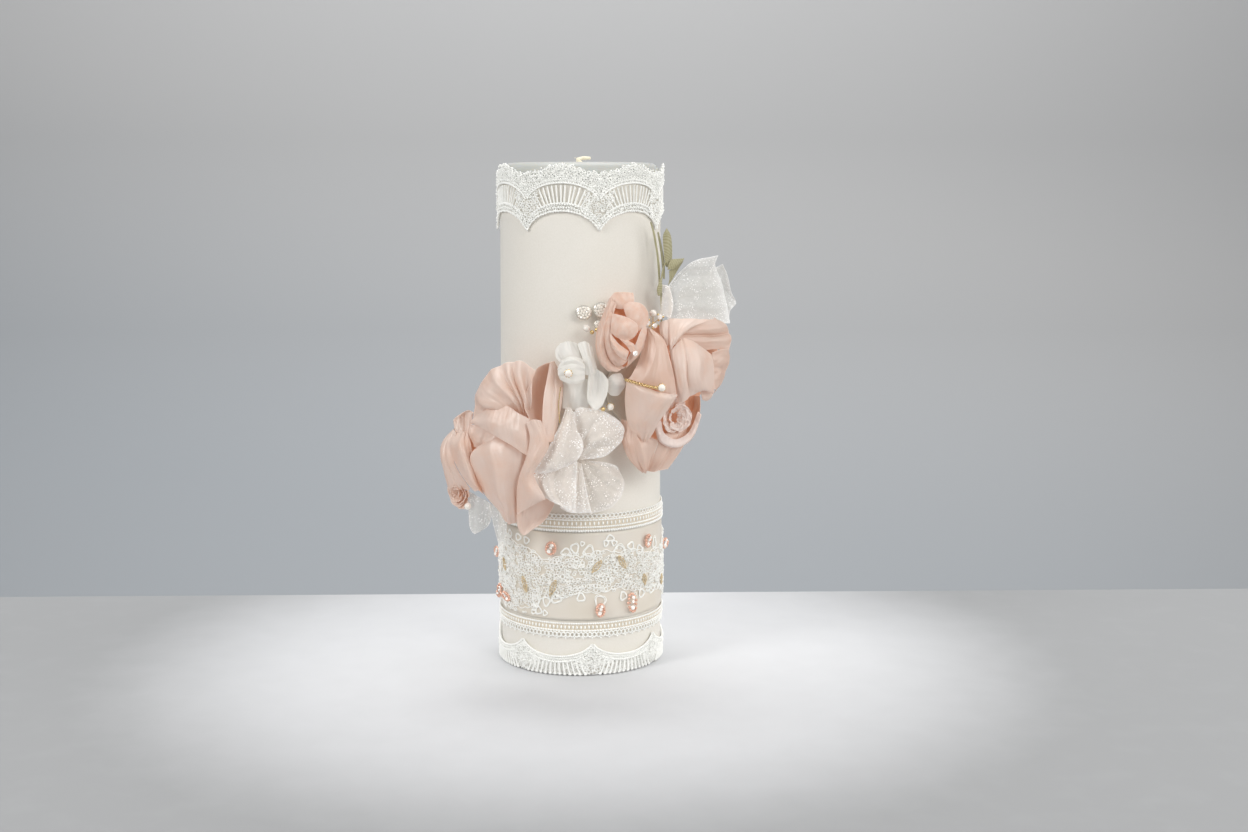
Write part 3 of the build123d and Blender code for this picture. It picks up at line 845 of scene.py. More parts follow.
# ------------------------------------------------------------------------------ the candle
class CANDLE_OT_pillar(Operator):
    """Finish the wax, sustainer and tape, and lay up the braided wick"""
    bl_idname = "candle.pillar"
    bl_label = "Wax pillar and wick"

    def execute(self, context):
        for node, name in (("wax_pillar", "wax"), ("wick_sustainer", "sustainer_tin"),
                           ("tape_bands", "clear_tape")):
            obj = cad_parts[node]
            obj.data.materials.clear()
            obj.data.materials.append(finish(name))
        top = WAX_TOP
        route = smooth_run([(0, 0, 0.8), (0, 0, top / 2), (0, 0, top - 3)], 40)
        route += smooth_run([(0, 0, top - 2), (0.1, 0, top), (-0.9, 0, top + 1.4),
                             (1.2, 0.1, top + 2.3), (3.8, 0.2, top + 2.2)], 40)
        strands = []
        for k in range(3):
            run = []
            for i, centre in enumerate(route):
                phase = i * 0.55 + k * TURN / 3
                run.append(centre + Vector((math.cos(phase) * 0.45, math.sin(phase) * 0.45, 0)))
            strands.append(run)
        cords("wick_strands", strands, 0.68, "wick_cotton", ("wick",), sides=2)
        random.seed(4)
        hairs = []
        for _ in range(46):
            root = Vector((random.uniform(-1.8, 3.6), random.uniform(-0.7, 0.7),
                           top + 1.9 + random.uniform(-0.4, 0.5)))
            way = Vector((random.uniform(-1, 1) * 1.2, random.uniform(-0.6, 0.6),
                          random.uniform(-0.2, 0.8)))
            hairs.append([root, root + way * 0.6, root + way + Vector((0, 0, -0.2))])
        cords("wick_fray", hairs, 0.09, "wick_cotton", sides=0)
        return {"FINISHED"}


class CANDLE_OT_wrap(Operator):
    """Wrap the ivory cloth round the pillar, lapped at the back"""
    bl_idname = "candle.wrap"
    bl_label = "Ivory wrap"

    def execute(self, context):
        thickness = 0.4
        radius = WRAP_RADIUS - 0.25
        lap = 20.0
        turn = 360.0 + lap
        width = math.radians(turn) * radius
        height = WRAP_TOP - WRAP_LOW

        def place(u, v):
            facing = 180 - lap / 2 + u * turn
            out = 0.36 * min(1.0, max(0.0, (u * turn - 360) / 3.0 + 1.0))
            ripple = 0.05 * noise.noise(Vector((u * 26, v * 3, 2.0)))
            edge = 0.25 * noise.noise(Vector((u * 30, 0.5, 9.0))) * (v > 0.995)
            return around(facing, WRAP_LOW + v * height + edge, radius + out + ripple) * MM

        obj = mesh_object("ivory_wrap", grid_mesh(190, 60, place, (width, height)))
        thicken(obj, thickness)
        ride(obj, "ivory_crepe_satin", ("fabric_wrap",))
        return {"FINISHED"}


def arch(t, low, high):
    """An arch from low at t = -1 and 1 to high at t = 0."""
    return low + (high - low) * max(0.0, 1 - abs(t) ** 2.1) ** 0.62


def lace_place(facing, tip_facing):
    """Where a facing lies in its lace repeat: -1 and 1 at the tips, 0 at the middle."""
    t = (facing - tip_facing) / LACE_PITCH
    return 2 * (t - math.floor(t)) - 1


def lace_repeats(tip_facing, ground):
    """For each lace repeat, the functions turn(t), the facing of a place t in it, and
    at(t, z, out), the point at that place, at height z and out from the ground's radius."""
    for k in range(LACE_REPEATS):
        middle = tip_facing + (k - LACE_REPEATS / 2) * LACE_PITCH

        def turn(t):
            return middle + t * LACE_PITCH / 2

        def at(t, z, out):
            return around(turn(t), z, ground + out)

        yield turn, at


def eyelets(name, region, low, high, step, radius, seed, size=(0.52, 0.72), thread=0.34):
    """Fills region(facing, z) with small thread loops on the candle."""
    random.seed(seed)
    places = []
    columns = int(TURN * radius / step)
    levels = int((high - low) / step)
    for i in range(columns):
        for j in range(levels + 1):
            facing = (i + random.uniform(-0.32, 0.32) + 0.5 * (j % 2)) * 360 / columns - 180
            z = low + (j + random.uniform(-0.3, 0.3)) * step
            if not region(facing, z):
                continue
            matrix = facing_matrix(around(facing, z, radius + random.uniform(-0.05, 0.6)), facing,
                                   random.uniform(0, 180), random.uniform(-36, 36))
            loop = random.uniform(*size)
            places.append(scaled(matrix, loop, loop * random.uniform(0.75, 1.0), loop))
    return scatter(name, eye_pattern(thread), places, "guipure_lace")


def band_sheet(name, low, high, radius, finish_name, nodes, cover=None, columns=420, levels=26,
               thickness=0.22):
    """A ring of cloth whose edges are functions of the facing angle. cover(facing, z) says how
    close its net is there, from 0 to 1."""
    height = max(high(f) - low(f) for f in range(-180, 180, 3))
    width = TURN * radius

    def place(u, v):
        facing = u * 360 - 180
        bottom, top = low(facing), high(facing)
        return around(facing, bottom + v * (top - bottom), radius) * MM

    bm = grid_mesh(columns, levels, place, (width, height), loop=True)
    bmesh.ops.recalc_face_normals(bm, faces=bm.faces)
    obj = mesh_object(name, bm)
    if cover:
        layer = obj.data.attributes.new("cover", "FLOAT", "POINT")
        for vert, value in zip(obj.data.vertices, layer.data):
            x, y, z = vert.co / MM
            value.value = cover(math.degrees(math.atan2(x, -y)), z)
    thicken(obj, thickness, 0)
    ride(obj, finish_name, nodes)
    cut_from_sheet(obj, width, height, "laid", "fabric_wrap")
    return obj


SCALLOP_CROWN = 199.0                 # the top lace's lower edge, midway between two tips
FAN_FOOT, FAN_CROWN = 203.4, 211.2    # its raised arc, at the tips and midway
BORDER_WIDTH = 3.6                    # from its lower edge to the foot of its bars
EDGE_DIP, EDGE_RISE = 215.4, 3.9      # its upper edge over the tips, and how far that rises


class CANDLE_OT_top_lace(Operator):
    """Lay the corded lace round the top of the wrap"""
    bl_idname = "candle.top_lace"
    bl_label = "Top lace"

    def execute(self, context):
        def where(facing):
            return lace_place(facing, TOP_TIP_FACING)

        def underside(t):
            return arch(t, TOP_LACE_TIP - 1.6, SCALLOP_CROWN)

        def main_arc(t):
            return arch(t, FAN_FOOT, FAN_CROWN)

        def top_edge(facing):
            t = where(facing)
            ragged = 0.7 * noise.noise(Vector((facing * 0.35, 3.0, 1.0)))
            return EDGE_DIP + EDGE_RISE * math.exp(-(t / 0.5) ** 2) + ragged

        def inner_arc(t):
            return underside(t) + BORDER_WIDTH

        def cover(facing, z):
            t = where(facing)
            if z > main_arc(t):
                return 0.8
            return 0.0 if inner_arc(t) < z else 0.72

        ground = TRIM_INSIDE + 0.2
        band_sheet("top_lace_net", lambda f: underside(where(f)) + 0.4, top_edge, ground,
                   "lace_ground", ("top_lace_trim",), cover)

        def net(facing, z):
            t = where(facing)
            over_arc = main_arc(t) + 1.5 < z < top_edge(facing)
            tip = abs(t) > 0.62 and underside(t) + 0.9 < z < main_arc(t) - 1.0
            return over_arc or tip

        eyelets("top_lace_picots", net, 189.5, 219.6, PICOT_STEP, ground + 0.35, 11, (0.5, 0.8), 0.3)
        arcs, twins, inner, borders, bars, beads = [], [], [], [], [], []
        steps = [i / 24 - 1 for i in range(49)]
        random.seed(13)
        while len(beads) < 900:
            facing, z = random.uniform(-180, 180), random.uniform(190, 219.5)
            if net(facing, z) or (z > 213 and abs(z - top_edge(facing)) < 0.9):
                spot = facing_matrix(around(facing, z, ground + random.uniform(0.3, 0.95)), facing)
                beads.append(scaled(spot, random.uniform(0.3, 0.48)))
        for turn, at in lace_repeats(TOP_TIP_FACING, ground):
            arcs.append([at(t * 0.97, main_arc(t * 0.985) - 0.1, 0.75) for t in steps])
            twins.append([at(t * 0.98, main_arc(t * 0.98) + 1.1, 0.55) for t in steps])
            inner.append([at(t * 0.9, inner_arc(t * 0.9), 0.45) for t in steps])
            borders.append([at(t * 0.97, underside(t * 0.97) + 0.3, 0.4) for t in steps])
            for i in range(15):
                t = -0.88 + (i + random.uniform(-0.15, 0.15)) * 1.76 / 14
                foot = t * 0.7
                halfway = (main_arc(t) - 1.3 + inner_arc(foot)) / 2
                bars.append([at(t, main_arc(t) - 1.0, 0.3), at((t + foot) / 2, halfway, 0.35),
                             at(foot, inner_arc(foot) - 0.2, 0.3)])
            for line, row, lift, count in ((underside, 0.2, 0.48, 28), (underside, 1.7, 0.44, 28),
                                           (underside, 3.1, 0.4, 28), (main_arc, 0.2, 0.46, 30),
                                           (main_arc, 1.5, 0.42, 32)):
                for i in range(count):
                    t = -0.97 + (i + 0.5 * (row > 1.8)) * 1.94 / count
                    lifted = line(t) + row + random.uniform(-0.15, 0.15)
                    spot = facing_matrix(at(t, lifted, random.uniform(0.45, 0.75)), turn(t))
                    beads.append(scaled(spot, lift * random.uniform(0.85, 1.15),
                                        lift * random.uniform(0.85, 1.2), lift * 0.9))
        for runs, name, radius in ((arcs, "top_lace_arc_cords", 0.3),
                                   (twins, "top_lace_twin_cords", 0.22),
                                   (inner, "top_lace_inner_cords", 0.26),
                                   (borders, "top_lace_border_cords", 0.3),
                                   (bars, "top_lace_bars", 0.33)):
            cords(name, runs, radius, "lace_cord", sides=2)
        scatter("top_lace_border_picots", bead_pattern(7, 5), beads, "guipure_lace")
        return {"FINISHED"}


class CANDLE_OT_hem_lace(Operator):
    """Lay the corded lace round the foot"""
    bl_idname = "candle.hem_lace"
    bl_label = "Hem lace"

    def execute(self, context):
        def where(facing):
            return lace_place(facing, HEM_TIP_FACING)

        def hang(t):
            return HEM_TIP - 0.5 - arch(t, 0.0, HEM_TIP - 8.9)

        def cover(facing, z):
            t = where(facing)
            return 0.95 if z > hang(t) - 2.2 else 0.5

        ground = TRIM_INSIDE + 0.15
        band_sheet("hem_lace_net", lambda f: HEM_LOW + 0.1, lambda f: hang(where(f)) - 0.2, ground,
                   "lace_ground", ("hem_lace_trim",), cover, levels=18)

        def net(facing, z):
            t = where(facing)
            return abs(t) > 0.5 and 3.6 < z < hang(t) - 0.9

        eyelets("hem_lace_picots", net, 1.0, 15.0, PICOT_STEP, ground + 0.3, 12, (0.5, 0.8), 0.3)
        tops, seconds, bars, dots = [], [], [], []
        steps = [i / 24 - 1 for i in range(49)]
        for turn, at in lace_repeats(HEM_TIP_FACING, ground):
            tops.append([at(t * 0.97, hang(t * 0.985), 0.55) for t in steps])
            seconds.append([at(t * 0.72, hang(t * 0.72) - 2.3, 0.5) for t in steps])
            for i in range(13):
                t = -0.66 + i * 1.32 / 12
                foot = t * 1.22
                bars.append([at(t, hang(t) - 2.8, 0.4), at((t + foot) / 2, 3.0, 0.6),
                             at(foot, 0.75, 0.45)])
                dots.append(scaled(facing_matrix(at(foot, 0.9, 0.5), turn(foot)), 0.72, 0.6, 0.55))
            for drop, size, count in ((0.0, 0.46, 34), (1.1, 0.34, 36), (2.4, 0.44, 30)):
                for i in range(count):
                    t = (i + 0.5) * 1.94 / count - 0.97
                    if drop > 2 and abs(t) > 0.8:
                        continue
                    spot = facing_matrix(at(t, hang(t) - drop, 0.62), turn(t))
                    dots.append(scaled(spot, size * random.uniform(0.9, 1.1)))
        random.seed(14)
        while len(dots) < 1500:
            facing, z = random.uniform(-180, 180), random.uniform(3, 14.6)
            if net(facing, z):
                spot = facing_matrix(around(facing, z, ground + random.uniform(0.3, 0.8)), facing)
                dots.append(scaled(spot, random.uniform(0.3, 0.46)))
        for runs, name, radius in ((tops, "hem_lace_arc_cords", 0.38),
                                   (seconds, "hem_lace_second_cords", 0.3),
                                   (bars, "hem_lace_bars", 0.38)):
            cords(name, runs, radius, "lace_cord", sides=2)
        scatter("hem_lace_foot_picots", bead_pattern(7, 5), dots, "guipure_lace")
        return {"FINISHED"}


def full_ring(z, radius):
    """A thread right round the candle."""
    return [around(2 * i, z, radius) for i in range(180)]


def bead_row(z, radius, pitch, size, squash=1.0, offset=0.0):
    """Places for beads right round the candle, a pitch apart. offset is a share of the pitch."""
    count = round(TURN * radius / pitch)
    places = []
    for i in range(count):
        facing = 360 * (i + offset) / count
        matrix = facing_matrix(around(facing, z, radius), facing)
        places.append(scaled(matrix, size, size * squash, size * 0.8))
    return places


class CANDLE_OT_braids(Operator):
    """Lay the two picot braids above and below the beaded panel"""
    bl_idname = "candle.braids"
    bl_label = "Braids"

    def execute(self, context):
        base = TRIM_INSIDE + 0.1
        face = base + 0.3
        for name, low, high, node in (
                ("upper_braid_tape", UPPER_BRAID_LOW + 0.3, UPPER_BRAID_TOP - 1.4, "upper_braid"),
                ("lower_braid_tape", LOWER_BRAID_LOW + 2.4, LOWER_BRAID_TOP - 0.3, "lower_braid")):
            band_sheet(name, lambda f: low, lambda f: high, base, "braid_tape", (node,),
                       columns=180, levels=4, thickness=0.3)
        low = UPPER_BRAID_LOW
        rows = [(0.5, 1.02, 0.5, 1.0), (1.95, 1.02, 0.46, 1.0), (3.5, 1.9, 0.42, 2.1),
                (5.1, 1.3, 0.52, 0.9)]
        beads = [spot for z, pitch, size, tall in rows
                 for spot in bead_row(low + z, face + 0.1, pitch, size, tall)]
        beads += bead_row(low + 0.05, face + 0.05, 1.3, 0.42, 0.9, 0.4)
        scatter("upper_braid_knots", bead_pattern(7, 5), beads, "guipure_lace")
        cords("upper_braid_cords", [full_ring(low + z, face) for z in (0.5, 1.95, 5.0)], 0.3,
              "lace_cord", closed=True)
        picots = bead_row(low + 6.55, face - 0.1, 1.95, 0.95, 0.9)
        scatter("upper_braid_picots", eye_pattern(0.3), picots, "guipure_lace")

        low = LOWER_BRAID_LOW
        rows = [(7.1, 1.02, 0.48, 1.0), (5.5, 1.7, 0.42, 1.9), (3.95, 1.2, 0.5, 1.0)]
        beads = [spot for z, pitch, size, tall in rows
                 for spot in bead_row(low + z, face + 0.1, pitch, size, tall)]
        beads += bead_row(low + 0.75, face, 3.8, 0.42, 1.0, 0.25)
        scatter("lower_braid_knots", bead_pattern(7, 5), beads, "guipure_lace")
        cords("lower_braid_cords", [full_ring(low + z, face) for z in (7.1, 3.95)], 0.28,
              "lace_cord", closed=True)
        picots = bead_row(low + 2.2, face - 0.05, 1.9, 0.9, 1.15)
        scatter("lower_braid_picots", eye_pattern(0.32), picots, "guipure_lace")
        return {"FINISHED"}


MOTIF_SPAN = 26.0, 61.5   # lowest and highest z of any of its loops


def motif_edges(facing):
    """The lowest and highest z of the panel's corded motif at a facing."""
    a = math.radians(facing)
    middle = 43.2 + 2.2 * math.sin(3 * a + 0.6)
    half = 7.6 + 7.4 * max(0.0, math.cos(2 * (a + math.radians(68))))
    lobe = 1.6 * abs(math.sin(7 * a)) - 0.6
    return middle - half - lobe, min(PANEL_TOP - 1.5, middle + half + lobe)


MOTIF_LOOPS = [  # facing, z, radius: open rings of cord outside the motif
    (-4, 55.6, 2.0), (5.5, 54.2, 2.4), (27, 53.6, 2.8), (13, 32.4, 2.6), (-32, 31.5, 2.2),
    (20, 59.4, 1.6), (17, 57.4, 1.2), (23, 57.2, 1.2), (62, 53.5, 2.2), (30, 33.6, 1.8),
    (1, 57.6, 0.9), (-10, 53.8, 1.9), (-24, 32.0, 1.9), (-17, 33.4, 2.1), (-30, 27.6, 1.7),
    (-25, 26.8, 1.1), (-34, 26.6, 1.1), (44, 52.6, 1.9), (36, 55.0, 1.7), (0, 34.4, 1.8),
    (46, 33.2, 1.8), (58, 33.6, 2.0), (-48, 58.0, 1.6), (-58, 58.4, 1.6), (-40, 57.4, 1.5),
    (96, 54, 2.2), (112, 33, 2.4), (140, 55, 2.2), (165, 34, 2.4), (185, 55.5, 2.2),
    (205, 33.5, 2.4), (225, 54.5, 2.2), (246, 34, 2.2),
]


class CANDLE_OT_panel(Operator):
    """Lay the tulle panel and its corded, seed-beaded motif"""
    bl_idname = "candle.panel"
    bl_label = "Beaded panel"

    def execute(self, context):
        base = TRIM_INSIDE + 0.15
        band_sheet("panel_tulle_ground", lambda f: PANEL_LOW, lambda f: PANEL_TOP, base,
                   "panel_tulle", ("beaded_lace_panel",), columns=220, levels=30, thickness=0.25)

        def inside(facing, z):
            low, high = motif_edges(facing)
            open_patch = noise.noise(Vector((facing / 7.5, z / 4.2, 8))) < -0.3
            return low < z < high and not open_patch

        def sparse(facing, z):
            low, high = motif_edges(facing)
            near = low - 2.5 < z < high + 2.5
            return near and not inside(facing, z) and noise.noise(Vector((facing / 6, z / 3, 4))) > 0.2

        face = base + 0.35
        eyelets("panel_motif_loops", inside, *MOTIF_SPAN, 1.45, face, 31, (0.5, 0.95), 0.28)
        eyelets("panel_outer_loops", sparse, *MOTIF_SPAN, 1.5, face - 0.1, 32)
        random.seed(33)
        beads = []
        while len(beads) < 2400:
            facing, z = random.uniform(-180, 180), random.uniform(26, 61)
            if not inside(facing, z):
                continue
            size = sizes().seed_bead * random.uniform(0.75, 1.2)
            spot = facing_matrix(around(facing, z, face + random.uniform(0.1, 0.35)), facing,
                                 random.uniform(0, 180))
            beads.append(scaled(spot, size * random.uniform(1.0, 1.7), size, size))
        scatter("panel_seed_beads", bead_pattern(6, 4), beads, "panel_beads")

        edges = []
        for side in (0, 1):
            run = []
            for i in range(700):
                facing = i * 360 / 700
                scallop = 0.75 * abs(math.sin(math.radians(facing) * 26)) * (2 * side - 1)
                run.append(around(facing, motif_edges(facing)[side] + scallop, face + 0.15))
            edges.append(run)
        cords("panel_edge_cords", edges, 0.2, "guipure_lace", closed=True)
        rings = []
        for facing, z, radius in MOTIF_LOOPS:
            tall = random.uniform(0.85, 1.2)
            for shrink in (1.0, 0.8):
                run = []
                for i in range(20):
                    a = TURN * i / 20
                    reach = radius * shrink * (1 + 0.16 * math.sin(3 * a + z) * shrink)
                    spread = math.degrees(reach / tall / face)
                    run.append(around(facing + spread * math.cos(a), z + reach * tall * math.sin(a),
                                      face + random.uniform(0.0, 0.3)))
                rings.append(run)
        cords("panel_ring_cords", rings, 0.2, "guipure_lace", closed=True)
        return {"FINISHED"}


# facing, z, width, height and roll of each sequin cup; facing, z, length and roll of each heart
SEQUIN_CUPS = [
    (-87, 46.5, 3.6, 4.4, 0), (-74, 31.0, 2.8, 6.0, -8), (-61, 30.4, 3.0, 5.2, 60),
    (-20, 55.4, 4.4, 5.6, -12), (12.8, 28.8, 3.8, 5.6, 0), (36, 30.4, 4.6, 8.4, 8),
    (51, 55.8, 3.6, 5.4, -12), (86, 50.0, 4.4, 4.4, 0), (124, 31.5, 4.4, 8.0, 8),
    (150, 54.0, 4.2, 5.6, -10), (178, 29.5, 3.8, 5.6, 0), (207, 52.0, 4.2, 5.6, 12),
    (236, 30.0, 4.0, 6.6, -8),
]
BEAD_HEARTS = [
    (-65, 44.0, 5.6, 30), (-41, 38.2, 7.2, 20), (-19, 38.0, 7.6, -20), (10.5, 47.6, 6.4, -40),
    (28.5, 48.6, 7.0, 30), (48, 39.2, 5.0, 10), (74, 35.5, 4.6, 0), (100, 42.0, 6.4, 24),
    (126, 47.0, 6.4, -30), (148, 39.0, 6.4, 20), (172, 46.0, 6.4, -24), (198, 38.0, 6.4, 30),
    (222, 45.0, 6.4, -20), (248, 42.5, 6.4, 26), (262, 35.5, 6.4, -26),
]


class CANDLE_OT_beading(Operator):
    """Sew on the rose-gold cups, their crystals and the long khaki hearts"""
    bl_idname = "candle.beading"
    bl_label = "Sequins and crystals"

    def execute(self, context):
        random.seed(41)
        cups, stones, hearts = [], [], []
        for facing, z, width, height, roll in SEQUIN_CUPS:
            turned = facing * 0.62 if 55 < abs(facing) < 95 else facing
            seat = facing_matrix(around(facing, z, PANEL_RADIUS + 0.9), turned, roll)
            count = 13
            for i in range(count):
                a = TURN * (i + 0.3) / count
                edge = Vector((math.cos(a) * (width / 2 - 0.2), math.sin(a) * (height / 2 - 0.2),
                               random.uniform(-0.2, 0.3)))
                turn = Matrix.Rotation(a + math.pi / 2, 4, "Z")
                cups.append(scaled(seat @ Matrix.Translation(edge) @ turn, 0.74, 0.62, 0.6))
                if i % 3 == 0:
                    inner = Matrix.Translation(edge * 0.55)
                    cups.append(scaled(seat @ inner @ turn, 0.42, 0.36, 0.36))
            for side, size in ((-0.24, 1.0), (0.06, 0.7), (0.28, 0.8)):
                spot = seat @ Matrix.Translation((side * 1.8, side * height, 0.55))
                tip = Matrix.Rotation(random.uniform(-0.5, 0.5), 4, "X")
                stones.append(scaled(spot @ tip, size * min(1.0, width / 4)))
        for facing, z, length, roll in BEAD_HEARTS:
            seat = facing_matrix(around(facing, z, PANEL_RADIUS + 0.35), facing, roll)
            count = round(length / 0.75)
            for i in range(count):
                y = (i / (count - 1) - 0.5) * (length - 0.6)
                wide = 1.45 * math.sin(math.pi * (i + 0.6) / (count + 0.6))
                for side in (-1, 0, 1):
                    spot = Matrix.Translation((side * wide * 0.75, y + random.uniform(-0.2, 0.2),
                                               random.uniform(-0.1, 0.2)))
                    turn = Matrix.Rotation(random.uniform(-0.5, 0.5), 4, "Z")
                    hearts.append(scaled(seat @ spot @ turn, 0.3, 0.46, 0.34))
        scatter("rose_gold_cups", bead_pattern(8, 5), cups, "rose_gold_sequin", ("sequin_cups",))
        scatter("cup_stones", gem_pattern(), stones, "crystal", ("cup_crystals",), smooth=False)
        scatter("khaki_bead_hearts", bead_pattern(6, 4), hearts, "khaki_bead", ("bead_hearts",))
        return {"FINISHED"}


# ------------------------------------------------------------------------------ jewels
PEARLS = [(2.6, -42.5, 150.4), (-5.0, -57.5, 133.0), (12.4, -47.5, 117.8), (33.4, -57.5, 127.0),
          (30.6, -38.0, 156.2), (-47.6, -41.5, 75.0)]
GOLD_BEADS = [(4.8, -41.8, 148.6), (6.9, -41.6, 149.6), (-3.8, -47.6, 97.8), (9.4, -49.4, 117.2)]
SPRAY_CRYSTALS = [(33.6, -37.0, 154.4), (28.4, -37.4, 152.0), (31.4, -38.4, 151.0),
                  (22.6, -55.4, 141.0)]
BROOCH_PETALS = [(1.4, 156.6, 7.0, 6.4), (8.4, 157.6, 6.4, 7.0), (7.6, 151.4, 4.4, 4.4)]


class CANDLE_OT_jewels(Operator):
    """Set the brooch, pearls, gold beads, gilt stems and the crystal spray"""
    bl_idname = "candle.jewels"
    bl_label = "Brooch and pearls"

    def execute(self, context):
        random.seed(51)
        stones, metal = [], []
        for x, z, width, height in BROOCH_PETALS:
            facing = math.degrees(math.asin(x / SPRAY_RADIUS))
            base = facing_matrix(around(facing, z, SPRAY_RADIUS + 0.8), facing)
            metal.append(scaled(base, width / 2, height / 2, 0.9))
            rings = ((0.0, 1), (0.42, 6), (0.8, 12)) if width > 5 else ((0.0, 1), (0.66, 7))
            for reach, count in rings:
                for i in range(count):
                    a = TURN * (i + 0.2) / count
                    spot = Matrix.Translation((math.cos(a) * reach * width * 0.44,
                                               math.sin(a) * reach * height * 0.44,
                                               0.9 * math.sqrt(1 - 0.8 * reach ** 2) + 0.15))
                    lean = Matrix.Rotation(reach * 0.7, 4, Vector((-math.sin(a), math.cos(a), 0)))
                    stones.append(scaled(base @ spot @ lean, 0.62))
        scatter("brooch_metal", bead_pattern(24, 12), metal, "silver_setting", ("brooch_setting",))
        scatter("brooch_pave", gem_pattern(), stones, "pave_stone", ("brooch_stones",), smooth=False)
        pearls = [scaled(Matrix.Translation(p), 1.5) for p in PEARLS]
        scatter("pearl_beads", bead_pattern(24, 16), pearls, "pearl", ("pearls",))
        gold = [scaled(Matrix.Translation(p), 0.95) for p in GOLD_BEADS]
        for x, y, z in PEARLS[1:4]:
            for i in range(9):
                a = TURN * i / 9
                gold.append(scaled(Matrix.Translation((x + 1.4 * math.cos(a), y + 0.9,
                                                       z + 1.4 * math.sin(a))), 0.42))
        for x, y, z in SPRAY_CRYSTALS[:3]:
            for i in range(3):
                a = TURN * i / 3 + x
                gold.append(scaled(Matrix.Translation((x + 1.4 * math.cos(a), y + 0.5,
                                                       z + 1.4 * math.sin(a))), 0.5))
        scatter("gold_bead_set", bead_pattern(12, 8), gold, "gold_bead", ("gold_beads",))
        crystals = []
        for place in SPRAY_CRYSTALS:
            crystals.append(scaled(facing_matrix(Vector(place), 20), 1.15))
        scatter("spray_stones", gem_pattern(), crystals, "crystal", ("spray_crystals",), smooth=False)
        stem = []
        route = smooth_run([(18.4, -50.0, 129.6), (23, -53.4, 128.6), (28, -55.6, 127.4),
                            (31.6, -57.0, 127.0)], 40)
        for k in range(2):
            stem.append([p + 0.5 * Vector((0, math.cos(i * 0.9 + k * math.pi),
                                           math.sin(i * 0.9 + k * math.pi)))
                         for i, p in enumerate(route)])
        side = smooth_run([(-8.6, -53.8, 112.0), (-9.0, -53.6, 120.0), (-8.2, -53.6, 127.0)], 12)
        cords("gilt_twist", stem, 0.28, "gold_bead", ("gilt_stems",), sides=2)
        cords("gilt_stamen", [side], 0.22, "gold_bead", sides=2)
        wires = [smooth_run([(30.2, -31.6, 147.0), (30.6, -36, 151), c], 8)
                 for c in SPRAY_CRYSTALS[:3] + PEARLS[4:5]]
        cords("spray_wires", wires, 0.16, "gold_bead", ("spray_wire",))
        return {"FINISHED"}


